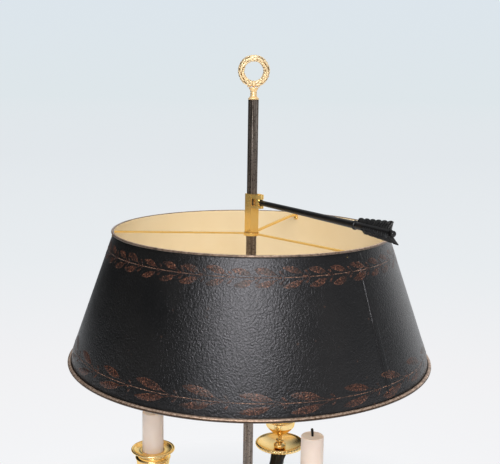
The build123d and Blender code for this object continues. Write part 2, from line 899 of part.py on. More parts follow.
def finial_wreath():
    """The ring of the wreath on its pin, stood up on the foot and turned about the stem."""
    low = stem_height + finial_height
    # The tube's corners lie at the ring's outermost and innermost reach.
    middle_radius = wreath_outer_radius - wreath_tube_radius
    tube = Pos(middle_radius, 0) * RegularPolygon(wreath_tube_radius, wreath_sides)
    ring = Pos(0, 0, low + wreath_outer_radius) * revolve(tube, Axis.Y)
    seat = cylinder_up(wreath_seat_radius, low, low + wreath_tube_radius)
    pin = cylinder_up(wreath_pin_radius, low - wreath_pin_length, low + wreath_tube_radius)
    return Rot(0, 0, wreath_turn) * (ring + seat + pin)


# ------------------------------------------------------------ assembly


def build():
    """Every node of the lamp, by name."""
    weight_screws = at_arms(weight_screw())
    rivets = at_arms(spider_rivet())
    strips = [strip - rivet for strip, rivet in zip(at_arms(spider_strip()), rivets)]
    top_wire, bottom_wire = wire_sections()
    out = Pos(candle_circle_radius, 0, 0)
    nodes = {
        "base_felt": base_felt(),
        "base_weight": base_weight(weight_screws),
        "base_weight_screws": Compound(weight_screws),
        "base_dish": base_dish(weight_screws),
        "base_border": base_border(),
        "stem_washer": stem_washer(),
        "stem_nut": stem_nut(),
        "stem": stem(),
        "column_foot": column_foot(),
        "column_shaft": column_shaft(),
        "arm_hub": arm_hub(),
        "arm_screws": Compound(at_arms(arm_screw())),
        "hub_cap": hub_cap(),
        "finial_foot": finial_foot(),
        "finial_wreath": finial_wreath(),
        "sleeve": sleeve(),
        "pivot_pin": pivot_pin(),
        "spider_hub": spider_hub(strips),
        "spider_rivets": Compound(rivets),
        "shade_shell": shade_shell(rivets),
        "shade_top_wire": revolve(Plane.XZ * top_wire, Axis.Z),
        "shade_bottom_wire": revolve(Plane.XZ * bottom_wire, Axis.Z),
        "lever_cam": lever_cam(),
        "arrow_shaft": arrow_shaft(),
        "arrow_fletching": arrow_fletching(),
        "drip_pans": Compound(at_arms(out * drip_pan())),
        "nozzle_knops": Compound(at_arms(out * nozzle_knop())),
        "candle_sockets": Compound(at_arms(out * candle_socket())),
        "candle_nozzles": Compound(at_arms(out * candle_nozzle())),
    }
    for side, angle, strip, top in zip(("front", "right", "left"), arm_angles, strips, candle_tops):
        place = Rot(0, 0, angle)
        nodes[f"candle_arm_{side}"] = place * candle_arm()
        nodes[f"candle_{side}"] = place * out * candle(top)
        nodes[f"wick_{side}"] = place * out * cylinder_up(wick_radius, top, top + wick_length)
        nodes[f"spider_strip_{side}"] = strip
    return nodes


os.makedirs("parts", exist_ok=True)
for name, solid in build().items():
    export_step(solid, f"parts/{name}.step")
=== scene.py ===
"""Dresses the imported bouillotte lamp: gilt bronze, painted tole, bare steel, black bronze and wax.

Every piece is modelled in millimetres in the row's frame, turned to metres when its mesh is made, and rides
on the body that carries it. The stem stands on +Z, and the arrow lever points to -Y at rest.
"""

from __future__ import annotations

import json
import logging
import math
import random
from dataclasses import dataclass
from enum import Enum
from typing import Callable, Iterable, Mapping, Sequence

import bmesh
import bpy
from bmesh.types import BMEdge, BMesh, BMVert
from mathutils import Matrix, Vector

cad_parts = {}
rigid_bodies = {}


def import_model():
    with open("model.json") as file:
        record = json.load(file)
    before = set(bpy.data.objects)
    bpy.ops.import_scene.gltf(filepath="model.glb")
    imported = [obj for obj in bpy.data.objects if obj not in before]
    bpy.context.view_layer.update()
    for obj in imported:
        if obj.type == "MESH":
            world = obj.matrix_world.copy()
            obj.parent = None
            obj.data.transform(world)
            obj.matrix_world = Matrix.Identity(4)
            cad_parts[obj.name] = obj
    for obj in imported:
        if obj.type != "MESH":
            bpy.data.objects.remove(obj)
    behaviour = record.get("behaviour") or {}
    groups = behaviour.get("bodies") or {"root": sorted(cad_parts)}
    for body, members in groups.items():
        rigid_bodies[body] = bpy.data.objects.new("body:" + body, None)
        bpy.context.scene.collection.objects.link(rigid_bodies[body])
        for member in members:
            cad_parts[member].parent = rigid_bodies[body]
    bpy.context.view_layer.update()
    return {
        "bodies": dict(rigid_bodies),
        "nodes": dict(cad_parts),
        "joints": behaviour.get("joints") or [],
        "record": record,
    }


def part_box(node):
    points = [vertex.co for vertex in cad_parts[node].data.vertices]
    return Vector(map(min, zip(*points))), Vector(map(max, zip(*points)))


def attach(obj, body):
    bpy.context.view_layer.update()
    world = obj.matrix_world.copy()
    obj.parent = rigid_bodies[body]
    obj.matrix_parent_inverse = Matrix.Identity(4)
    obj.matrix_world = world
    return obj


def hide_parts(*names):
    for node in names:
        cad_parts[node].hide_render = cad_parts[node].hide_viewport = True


LOG = logging.getLogger("lamp")
MM = 0.001
TURN = 2 * math.pi
ARM_ANGLES = tuple(math.radians(angle) for angle in (-90.0, 30.0, 150.0))
# The radius about the stem on which the candles stand.
CANDLE_CIRCLE = 105.5
# The largest turn between faces, in degrees, that is smoothed where flat faces meet an eased edge.
FACETED = 20.0
# The largest turn between faces of a CAD node, in degrees, that counts as flat.
FLAT = 0.8
# The largest gaps, in millimetres, that are merged in a CAD node's mesh and in a mesh made here.
SEAM = 0.003
GAP = 0.002
SIDES = ("front", "right", "left")

Point = tuple[float, float]
Arched = tuple[float, ...]
Nodes = Mapping[str, bpy.types.Object]
Stop = tuple[float, str]
Socket = bpy.types.NodeSocket


class Body(Enum):
    """The rigid bodies that pieces ride on."""

    STAND = "stand"
    CARRIAGE = "shade_carriage"
    ARROW = "arrow_lever"


class Slot(Enum):
    """The record's material slots."""

    GILT = "gilt_bronze"
    BRASS = "polished_brass"
    BLACK = "black_bronze"
    TOLE = "painted_tole"
    WIRE = "worn_copper_wire"
    STEEL = "bare_steel"
    IRON = "cast_iron"
    WAX = "candle_wax"
    WICK = "burnt_wick"
    FELT = "green_felt"


# ------------------------------------------------------------------ colours and shader nodes


def linear(colour: str) -> tuple[float, float, float, float]:
    """Turns an sRGB hex colour into linear light.

    Args:
        colour: Six hex digits, without a hash.

    Returns:
        Red, green, blue and an alpha of one.
    """
    channels = [int(colour[k : k + 2], 16) / 255 for k in (0, 2, 4)]
    return tuple(c / 12.92 if c <= 0.04045 else ((c + 0.055) / 1.055) ** 2.4 for c in channels) + (1.0,)


def feed(node: bpy.types.Node, feeds: dict) -> None:
    """Sets a node's inputs, or links them.

    Args:
        node: The node.
        feeds: Input name or number to a value, or to the socket that feeds it.
    """
    for key, value in feeds.items():
        if isinstance(value, bpy.types.NodeSocket):
            node.id_data.links.new(value, node.inputs[key])
        else:
            node.inputs[key].default_value = value


def add(tree: bpy.types.NodeTree, kind: str, feeds: dict | None = None, **settings: object) -> bpy.types.Node:
    """Adds a node with its settings and links.

    Args:
        tree: The node tree.
        kind: The node's type, without the prefix that all share.
        feeds: Input name or number to a value, or to the socket that feeds it.
        **settings: The node's own properties.

    Returns:
        The new node.
    """
    node = tree.nodes.new(f"ShaderNode{kind}")
    for key, value in settings.items():
        setattr(node, key, value)
    feed(node, feeds or {})
    return node


def cleared(owner: bpy.types.Material | bpy.types.World) -> bpy.types.NodeTree:
    """Gives a material or a world an empty node tree, and returns it."""
    owner.use_nodes = True
    owner.node_tree.nodes.clear()
    return owner.node_tree


def per_mm(size: float) -> float:
    """The texture scale, in metres, that gives features of a size in millimetres."""
    return 1 / (size * MM)


@dataclass(frozen=True)
class Kit:
    """A node tree with its coordinates, and the nodes that are used most. Colours are sockets or sRGB hex."""

    tree: bpy.types.NodeTree
    where: Socket

    def noise(self, size: float, detail: float, **more: float) -> Socket:
        """Noise with features of a size in millimetres."""
        feeds = {"Vector": self.where, "Scale": per_mm(size), "Detail": detail, **more}
        return add(self.tree, "TexNoise", feeds).outputs["Fac"]

    def span(
        self, value: Socket, low: float = 0, high: float = 1, start: float = 0, end: float = 1,
    ) -> Socket:
        """Maps a value from the range start to end onto the range low to high, and no further."""
        feeds = {"Value": value, "To Min": low, "To Max": high, "From Min": start, "From Max": end}
        return add(self.tree, "MapRange", feeds).outputs[0]

    def ramp(self, value: Socket, *stops: Stop) -> Socket:
        """Colours a value by stops: the first, the last, and then those between."""
        node = add(self.tree, "ValToRGB", {"Fac": value})
        ends = node.color_ramp.elements
        for k, (position, colour) in enumerate(stops):
            stop = ends[k] if k < 2 else ends.new(position)
            stop.position, stop.color = position, linear(colour)
        return node.outputs[0]

    def mix(self, share: Socket, first: Socket | str, second: Socket | str) -> Socket:
        """Mixes two colours."""
        first, second = (linear(colour) if isinstance(colour, str) else colour for colour in (first, second))
        return add(self.tree, "Mix", {0: share, 6: first, 7: second}, data_type="RGBA").outputs[2]

    def maths(self, operation: str, *values: Socket | float) -> Socket:
        """Calculates with one to three values."""
        return add(self.tree, "Math", dict(enumerate(values)), operation=operation).outputs[0]

    def split(self, vector: Socket) -> Mapping[str, Socket]:
        """The parts of a vector, under X, Y and Z."""
        return add(self.tree, "SeparateXYZ", {0: vector}).outputs

    def bump(self, height: Socket, strength: float, depth: float) -> Socket:
        """Relief of a depth in millimetres."""
        feeds = {"Height": height, "Strength": strength, "Distance": depth * MM}
        return add(self.tree, "Bump", feeds).outputs[0]


@dataclass(frozen=True)
class Finish:
    """A finish: its name, and the nodes that colour and roughen it."""

    name: str

    def dress(self, kit: Kit) -> dict:
        """Gives what feeds the finish's shader.

        Args:
            kit: The material's nodes.

        Returns:
            Input name to a value, or to the socket that feeds it.
        """
        return {}

    def material(self) -> bpy.types.Material:
        """Makes the finish's material, or finds it if it is there.

        Returns:
            The material.
        """
        made = bpy.data.materials.get(self.name)
        if not made:
            made = bpy.data.materials.new(self.name)
            tree = cleared(made)
            kit = Kit(tree, add(tree, "TexCoord").outputs["Object"])
            shader = add(tree, "BsdfPrincipled", self.dress(kit))
            add(tree, "OutputMaterial", {"Surface": shader.outputs[0]})
        return made


@dataclass(frozen=True)
class CastGold(Finish):
    """Cast, chased and gilt metal: bright on its faces, brown in the recesses from dirt and painted shade."""

    light: str = "F6C873"
    deep: str = "D89A45"
    recess_dirt_and_shade: str = "5E3A16"
    roughness: float = 0.2
    dirt_and_shade_reach_mm: float = 2.5
    skin_mm: float = 1.6
    skin_depth: float = 0.05
    metallic: float = 1.0

    def dress(self, kit: Kit) -> dict:
        """Gives what feeds the finish's shader."""
        skin = kit.noise(self.skin_mm, 3)
        # Ambient occlusion darkens the recesses: part dirt, part painted shade where little light reaches.
        occlusion = add(
            kit.tree, "AmbientOcclusion", {"Distance": self.dirt_and_shade_reach_mm * MM}, samples=6, only_local=False,
        )
        dirt_and_shade_mask = kit.span(occlusion.outputs["AO"], 1, 0, 0.25, 0.75)
        gold = kit.mix(kit.noise(16, 4), self.deep, self.light)
        return {
            "Metallic": self.metallic, "Specular Tint": linear(self.light),
            "Base Color": kit.mix(dirt_and_shade_mask, gold, self.recess_dirt_and_shade),
            "Roughness": kit.span(skin, self.roughness * 0.8, self.roughness * 1.35),
            "Normal": kit.bump(skin, self.skin_depth * 4, self.skin_depth),
        }


@dataclass(frozen=True)
class DrawnSteel(Finish):
    """Old drawn steel bar: brown-grey, streaked along its length, with dark specks of rust."""

    def dress(self, kit: Kit) -> dict:
        """Gives what feeds the finish's shader."""
        # Draw marks are under 0.5 mm wide and tens of millimetres long.
        scale = (per_mm(1.1), per_mm(1.1), per_mm(34))
        along = add(kit.tree, "Mapping", {"Vector": kit.where, "Scale": scale}).outputs[0]
        streak = add(kit.tree, "TexNoise", {"Vector": along, "Scale": 1.0, "Detail": 5.0}).outputs["Fac"]
        tone = kit.ramp(streak, (0.3, "5C5149"), (0.72, "B8ACA2"), (0.5, "887C73"))
        rust = kit.span(kit.noise(1.9, 6), 0, 0.8, 0.54, 0.64)
        return {
            "Metallic": 0.95, "Base Color": kit.mix(rust, tone, "2E241F"),
            "Roughness": kit.span(streak, 0.34, 0.58), "Normal": kit.bump(streak, 0.25, 0.1),
        }


@dataclass(frozen=True)
class JapannedPaint(Finish):
    """Black japan on sheet iron, stoved: satin, with the pebbled skin that hand-brushed lacquer dries to."""

    peel_mm: float = 1.8
    peel_depth: float = 0.5

    def dress(self, kit: Kit) -> dict:
        """Gives what feeds the finish's shader."""
        peel = kit.noise(self.peel_mm, 3, Roughness=0.55, Distortion=0.4)
        cloud = kit.noise(55, 4)
        tone = kit.ramp(cloud, (0.35, "0F0F0F"), (0.68, "151413"))
        bare = kit.span(kit.noise(7, 8), 0, 0.5, 0.7, 0.76)
        return {
            "Specular IOR Level": 0.57, "Specular Tint": linear("FAF8FF"),
            "Base Color": kit.mix(bare, tone, "4A3428"), "Roughness": kit.span(cloud, 0.27, 0.33),
            "Normal": kit.bump(peel, 1.0, self.peel_depth),
        }


@dataclass(frozen=True)
class CreamPaint(Finish):
    """Matt cream oil paint inside the shade, brushed on, warmer where it has yellowed."""

    def dress(self, kit: Kit) -> dict:
        """Gives what feeds the finish's shader."""
        colour = kit.ramp(kit.noise(70, 3), (0.3, "D6BC90"), (0.75, "DDC7A0"))
        return {"Roughness": 0.6, "Base Color": colour, "Normal": kit.bump(kit.noise(3, 2), 0.1, 0.05)}


@dataclass(frozen=True)
class RubbedWire(Finish):
    """A copper edge wire whose black paint has rubbed off in patches."""

    bare: str = "8A6E5A"
    bright: str = "E4C8B2"
    paint: str = "46352A"

    def dress(self, kit: Kit) -> dict:
        """Gives what feeds the finish's shader."""
        patch = kit.noise(14, 8)
        copper = kit.ramp(kit.noise(2.4, 4), (0.3, self.bare), (0.75, self.bright))
        worn = kit.span(patch, 0, 1, 0.28, 0.48)
        return {
            "Roughness": 0.42, "Base Color": kit.mix(worn, self.paint, copper),
            "Metallic": kit.span(worn, 0.1, 0.8), "Normal": kit.bump(patch, 0.4, 0.15),
        }


@dataclass(frozen=True)
class LeafGilding(Finish):
    """Laurel leaves laid in bronze powder on japan: reddish, brighter at the rim, rubbed through in places.

    The leaf's map holds its length in U and its width, from rim to rim, in V.
    """

    dark: str = "171110"
    body: str = "341F18"
    warm: str = "5E3829"
    bright: str = "AE8064"
    vein_count: float = 9.0

    def dress(self, kit: Kit) -> dict:
        """Gives what feeds the finish's shader."""
        leaf = kit.split(add(kit.tree, "TexCoord").outputs["UV"])
        away = kit.maths("ABSOLUTE", kit.maths("SUBTRACT", leaf["Y"], 0.5))
        slant = kit.maths("SUBTRACT", leaf["X"], away)
        vein = kit.maths("SINE", kit.maths("MULTIPLY", slant, self.vein_count * TURN))
        shaded = kit.maths("MULTIPLY_ADD", vein, 0.08, kit.noise(1.4, 3))
        grainy = kit.maths("MULTIPLY_ADD", shaded, 1.4, -0.24)
        lit = kit.maths("MULTIPLY_ADD", kit.span(away, 0, 1, 0.3, 0.46), 0.22, grainy)
        colour = kit.ramp(lit, (0.3, self.dark), (0.9, self.bright), (0.48, self.body), (0.7, self.warm))
        rubbed = kit.span(kit.noise(14, 5), 0, 0.9, 0.46, 0.7)
        return {
            "Metallic": 0.15, "Roughness": 0.36, "Base Color": kit.mix(rubbed, colour, "1A1817"),
            "Normal": kit.bump(kit.noise(1.8, 3, Roughness=0.55, Distortion=0.4), 1.0, 0.5),
        }


@dataclass(frozen=True)
class BlackBronze(Finish):
    """Bronze blacked with a chemical patina and waxed: satin, brown where it is handled."""

    def dress(self, kit: Kit) -> dict:
        """Gives what feeds the finish's shader."""
        skin = kit.noise(1.3, 3)
        colour = kit.ramp(kit.noise(11, 5), (0.35, "0B0B0C"), (0.78, "171514"))
        return {
            "Metallic": 0.0, "Base Color": colour, "Roughness": kit.span(skin, 0.28, 0.46),
            "Normal": kit.bump(skin, 0.2, 0.08),
        }


@dataclass(frozen=True)
class StearinWax(Finish):
    """Stearin candle wax: off-white, a little rosy, light sinks in a few millimetres."""

    def dress(self, kit: Kit) -> dict:
        """Gives what feeds the finish's shader."""
        cloud = kit.noise(22, 3)
        return {
            "Subsurface Weight": 0.35, "Subsurface Radius": (1.0, 0.7, 0.5), "Subsurface Scale": 3 * MM,
            "Roughness": 0.45, "Base Color": kit.ramp(cloud, (0.3, "D2BFB1"), (0.75, "DAC9BC")),
            "Normal": kit.bump(cloud, 0.15, 0.3),
        }


@dataclass(frozen=True)
class Rough(Finish):
    """A plain rough surface with a grain, for char, felt and raw iron."""

    low: str = "0B0A09"
    high: str = "1D1A18"
    grain_mm: float = 0.7
    grain_depth: float = 0.2
    roughness: float = 0.92
    sheen: float = 0.0

    def dress(self, kit: Kit) -> dict:
        """Gives what feeds the finish's shader."""
        grain = kit.noise(self.grain_mm, 4)
        return {
            "Roughness": self.roughness, "Sheen Weight": self.sheen,
            "Base Color": kit.ramp(grain, (0.3, self.low), (0.7, self.high)),
            "Normal": kit.bump(grain, 0.6, self.grain_depth),
        }


# Burnished gilding on the turned fittings reflects sharply.
GILT = CastGold("burnished_gilt_bronze", "FFE8B0", "FDD690", "C08A48")
# Chased gilding is left matt from the tool, and its recesses are darkened by dirt and painted shade.
CHASED = CastGold("chased_gilt_bronze", "FFEAC2", "F2CC94", "84561F", 0.36, 1.8, 0.9, 0.08, 0.6)
# The wreath's core, seen only between the leaves, is gilt painted darker brown as painted shade.
SHADED_GILT = CastGold("shaded_gilt_bronze", "A67A3C", "86582A", "4C3014", 0.45, 1.6, 1.2, 0.05, 0.6)
# The small turned parts of the finial are matt gilt and clean: the slight darkening of their recesses is
# painted shade.
MATT_GILT = CastGold("matt_gilt_bronze", "FFE2B0", "F8CE92", "B87C40", 0.34, 0.8, 1.2, 0.015, 0.65)
# Rolled brass, polished and lacquered.
BRASS = CastGold("lacquered_brass", "FFDC8E", "FAC86C", "8A5A24", 0.18, 2.0, 4.0, 0.01, 0.75)
STEEL = DrawnSteel("drawn_steel")
JAPAN = JapannedPaint("black_japan")
CREAM = CreamPaint("cream_oil_paint")
# The rubbed copper goes on the wires' upward crests, where it is wear and a painted highlight.
WIRE = RubbedWire("rubbed_copper_wire")
# Below its crest the wire keeps most of its paint, browned by handling, and is darker as painted shade.
SHADED_PAINTED_WIRE = RubbedWire("shaded_painted_copper_wire", "3C2D22", "67503F", "241B16")
SHADED_BROWNED_WIRE = RubbedWire("shaded_browned_copper_wire", "63503F", "A89282", "33261E")
LEAVES = LeafGilding("bronze_powder_leaves")
# The stalk's thin line took more powder than the leaves and still glints.
STALK = LeafGilding("bronze_powder_stalk", "2E1F19", "6A4838", "98705A", "E8CCB0")
BLACK = BlackBronze("black_patinated_bronze")
WAX = StearinWax("stearin_wax")
# A burnt cotton wick is matt carbon.
CHAR = Rough("burnt_cotton")
# Baize is teased wool felt, soft and dull green.
FELT = Rough("green_baize", "17301F", "2C4A33", 0.9, 0.4, 0.95, 0.4)
# Sand-cast iron keeps the grit of its mould.
IRON = Rough("sand_cast_iron", "1F1E1E", "3A3938", 1.8, 0.5, 0.7)


# ------------------------------------------------------------------ mesh tools


def bulged(outline: Sequence[Arched], steps: int = 7) -> list[Point]:
    """Draws an outline of straight and arched runs.

    Args:
        outline: Radius and height of each point, and the bulge of the run that ends there where it is an arc:
            the arc's rise over half its chord, positive to the left of the way along.
        steps: Facets of an arc.

    Returns:
        The outline's points.
    """
    points = [outline[0][:2]]
    for (r0, z0, *_), (r1, z1, *arc) in zip(outline, outline[1:]):
        for bulge in arc:
            half = math.hypot(r1 - r0, z1 - z0) / 2
            ux, uz = (r1 - r0) / (2 * half), (z1 - z0) / (2 * half)
            sweep = 4 * math.atan(abs(bulge))
            reach = half / math.sin(sweep / 2)
            for step in range(1, steps):
                turn = sweep * (step / steps - 0.5)
                along = half + reach * math.sin(turn)
                rise = math.copysign(reach * (math.cos(turn) - math.cos(sweep / 2)), bulge)
                points.append((r0 + ux * along - uz * rise, z0 + uz * along + ux * rise))
        points.append((r1, z1))
    return points


def lathe(outline: Sequence[Arched], segments: int = 96, closed: bool = False, steps: int = 7) -> BMesh:
    """Turns an outline about the Z axis.

    Args:
        outline: Radius and height of each point, and the bulge of each arc.
        segments: Facets round the axis.
        closed: Whether the outline closes on itself, as a ring's does. Otherwise its ends lie on the axis.
        steps: Facets of an arc.

    Returns:
        The turned mesh.
    """
    bm = bmesh.new()
    verts = [bm.verts.new((radius, 0, height)) for radius, height in bulged(outline, steps)]
    edges = [bm.edges.new(pair) for pair in zip(verts, verts[1:])]
    if closed:
        edges.append(bm.edges.new((verts[-1], verts[0])))
    bmesh.ops.spin(
        bm, geom=verts + edges, cent=(0, 0, 0), axis=(0, 0, 1), dvec=(0, 0, 0), angle=TURN, steps=segments,
        use_merge=True, use_duplicate=False,
    )
    return closed_up(bm)


def torus(ring: float, middle: float, radius: float, flat: float, sides: int, segments: int) -> BMesh:
    """Makes a ring of wire about the Z axis.

    Args:
        ring: The radius of its centre line.
        middle: The level of its centre line.
        radius: The wire's radius.
        flat: The share of that radius that is left upwards and downwards.
        sides: Facets round the wire.
        segments: Facets round the axis.

    Returns:
        The ring's mesh.
    """
    turns = [TURN * k / sides for k in range(sides)]
    outline = [(ring + radius * math.cos(turn), middle + radius * flat * math.sin(turn)) for turn in turns]
    return lathe(outline, segments, closed=True)


def closed_up(bm: BMesh) -> BMesh:
    """Merges doubled vertices, points the faces outwards, and returns the mesh."""
    bmesh.ops.remove_doubles(bm, verts=bm.verts, dist=GAP)
    bmesh.ops.recalc_face_normals(bm, faces=bm.faces)
    return bm


def move(bm: BMesh, matrix: Matrix) -> BMesh:
    """Moves a whole mesh by a matrix, and returns it."""
    bmesh.ops.transform(bm, matrix=matrix, verts=bm.verts)
    return bm


def about_z(angle: float) -> Matrix:
    """A turn about the Z axis by an angle in radians."""
    return Matrix.Rotation(angle, 4, "Z")


def around(radius: float, turn: float, level: float) -> Vector:
    """The place at a radius from the Z axis, an angle about it and a level."""
    return Vector((radius * math.cos(turn), radius * math.sin(turn), level))


def ease_edges(bm: BMesh, edges: Sequence[BMEdge], width: float, segments: int = 2) -> None:
    """Rounds edges.

    Args:
        bm: Their mesh.
        edges: The edges.
        width: The rounding, in millimetres. It gives way where edges run close together.
        segments: Facets across the rounding.
    """
    shape = {
        "offset_type": "OFFSET", "affect": "EDGES", "profile": 0.5, "material": -1, "clamp_overlap": True,
    }
    bmesh.ops.bevel(bm, geom=edges, offset=width, segments=segments, **shape)


def on_arms(bm: BMesh) -> BMesh:
    """Repeats a mesh, modelled about the Z axis, on each arm's candle axis.

    Args:
        bm: The mesh.

    Returns:
        The same mesh with its copies.
    """
    move(bm, Matrix.Translation((CANDLE_CIRCLE, 0, 0)))
    first = bm.verts[:] + bm.edges[:] + bm.faces[:]
    # The copies are made before the first mesh turns.
    sets = [first, *(bmesh.ops.duplicate(bm, geom=first)["geom"] for _ in ARM_ANGLES[1:])]
    for items, angle in zip(sets, ARM_ANGLES):
        verts = [item for item in items if isinstance(item, BMVert)]
        bmesh.ops.rotate(bm, verts=verts, cent=(0, 0, 0), matrix=Matrix.Rotation(angle, 3, "Z"))
    return bm


def lofted(rings: Iterable[tuple[Matrix, float]], sides: int) -> BMesh:
    """Lofts round sections, with closed ends.

    Args:
        rings: The place and the radius of each section.
        sides: Facets round a section.

    Returns:
        The lofted mesh.
    """
    bm = bmesh.new()
    previous = None
    for place, radius in rings:
        ring = bmesh.ops.create_circle(
            bm, cap_ends=False, segments=sides, radius=radius, matrix=place,
        )["verts"]
        edges = list({edge for vert in ring for edge in vert.link_edges if edge.other_vert(vert) in ring})
        if previous:
            bmesh.ops.bridge_loops(bm, edges=previous + edges)
        previous = edges
    bmesh.ops.holes_fill(bm, edges=bm.edges, sides=0)
    return closed_up(bm)


def tube(path: Sequence[Vector], radii: Sequence[float], sides: int = 24) -> BMesh:
    """Lofts round sections along a path in the XZ plane, with closed ends.

    Args:
        path: The sections' centres.
        radii: The sections' radii.
        sides: Facets round the path.

    Returns:
        The lofted mesh.
    """
    rings = []
    for k, (point, radius) in enumerate(zip(path, radii)):
        # The sections share the Y axis, so that the loft doesn't twist.
        z_axis = (path[min(k + 1, len(path) - 1)] - path[max(k - 1, 0)]).normalized()
        x_axis = Vector((0, 1, 0)).cross(z_axis).normalized()
        turn = Matrix((x_axis, z_axis.cross(x_axis), z_axis)).transposed().to_4x4()
        rings.append((Matrix.Translation(point) @ turn, radius))
    return lofted(rings, sides)


def lens(bm: BMesh, columns: int, rows: int, shape: Callable[[float, float, float], Vector]) -> None:
    """Adds a closed pad made of two grids that meet at their rim.

    Args:
        bm: The mesh to add to. Its active UV layer, if it has one, gets the pad's own coordinates.
        columns: Cells along.
        rows: Cells across.
        shape: Gives a place from the share along, the share across and the side: 1 above, -1 below, 0 at
            the rim.
    """
    layer = bm.loops.layers.uv.active
    for side in (1, -1):
        grid = bmesh.ops.create_grid(bm, x_segments=columns, y_segments=rows, size=1.0)["verts"]
        shares = {vert: ((vert.co.x + 1) / 2, (vert.co.y + 1) / 2) for vert in grid}
        for vert, (along, across) in shares.items():
            at_rim = min(along, 1 - along, across, 1 - across) < 1e-4
            vert.co = shape(along, across, 0 if at_rim else side)
        if layer:
            for face in {face for vert in grid for face in vert.link_faces}:
                for loop in face.loops:
                    loop[layer].uv = shares[loop.vert]


def softened(node: bpy.types.Object, edge: float, sharp_above: float = 30.0) -> BMesh:
    """Copies a CAD node's mesh with its flat faces joined and its sharp edges rounded.

    Args:
        node: The CAD node's object.
        edge: The rounding, in millimetres.
        sharp_above: The turn between faces, in degrees, above which an edge is rounded.

    Returns:
        The copied mesh, in millimetres.
    """
    bm = bmesh.new()
    bm.from_mesh(node.data)
    move(bm, Matrix.Scale(1 / MM, 4))
    bmesh.ops.remove_doubles(bm, verts=bm.verts, dist=SEAM)
    bmesh.ops.dissolve_limit(bm, angle_limit=math.radians(FLAT), verts=bm.verts, edges=bm.edges)
    turned = math.radians(sharp_above)
    sharp = [item for item in bm.edges if len(item.link_faces) == 2 and item.calc_face_angle(0.0) > turned]
    ease_edges(bm, sharp, edge)
    bmesh.ops.remove_doubles(bm, verts=bm.verts, dist=SEAM)
    return bm


def placed(name: str, data: bpy.types.ID) -> bpy.types.Object:
    """Puts a new object with its data into the scene, and returns it."""
    made = bpy.data.objects.new(name, data)
    bpy.context.scene.collection.objects.link(made)
    return made


def meshed(name: str, bm: BMesh) -> bpy.types.Mesh:
    """Makes a mesh of a BMesh, which is freed, and returns it."""
    mesh = bpy.data.meshes.new(name)
    bm.to_mesh(mesh)
    bm.free()
    return mesh


def piece(
    name: str, bm: BMesh, finishes: Finish | Sequence[Finish], body: Body, slot: Slot,
    nodes: Sequence[str] = (), smooth_below: float = 38.0,
) -> None:
    """Makes a finished piece from a mesh in millimetres, and gives it to its body.

    Args:
        name: The piece's name.
        bm: The mesh, which is freed.
        finishes: The finish, or the finishes by material index.
        body: The body that carries the piece.
        slot: The record's slot that its finish belongs to. It is not used.
        nodes: The CAD nodes that it stands for.
        smooth_below: The turn between faces, in degrees, up to which they are shaded as one.
    """
    mesh = meshed(name, move(bm, Matrix.Scale(MM, 4)))
    for finish in [finishes] if isinstance(finishes, Finish) else finishes:
        mesh.materials.append(finish.material())
    mesh.shade_smooth()
    mesh.set_sharp_from_angle(angle=math.radians(smooth_below))
    made = placed(name, mesh)
    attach(made, body.value)
    if nodes:
        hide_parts(*nodes)
    LOG.info("%s: %d faces on %s", name, len(mesh.polygons), body.value)


def finish_node(node: bpy.types.Object, finish: Finish) -> None:
    """Gives a CAD node that stays a better material."""
    node.data.materials.clear()
    node.data.materials.append(finish.material())
    LOG.info("%s: kept, in %s", node.name, finish.name)


def ends_of(node: str) -> tuple[float, float]:
    """The lowest and the highest level of a CAD node, in millimetres."""
    low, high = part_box(node)
    return low.z / MM, high.z / MM


def low_of(node: str) -> float:
    """The lowest level of a CAD node, in millimetres."""
    return ends_of(node)[0]


def high_of(node: str) -> float:
    """The highest level of a CAD node, in millimetres."""
    return ends_of(node)[1]


# ------------------------------------------------------------------ base and column


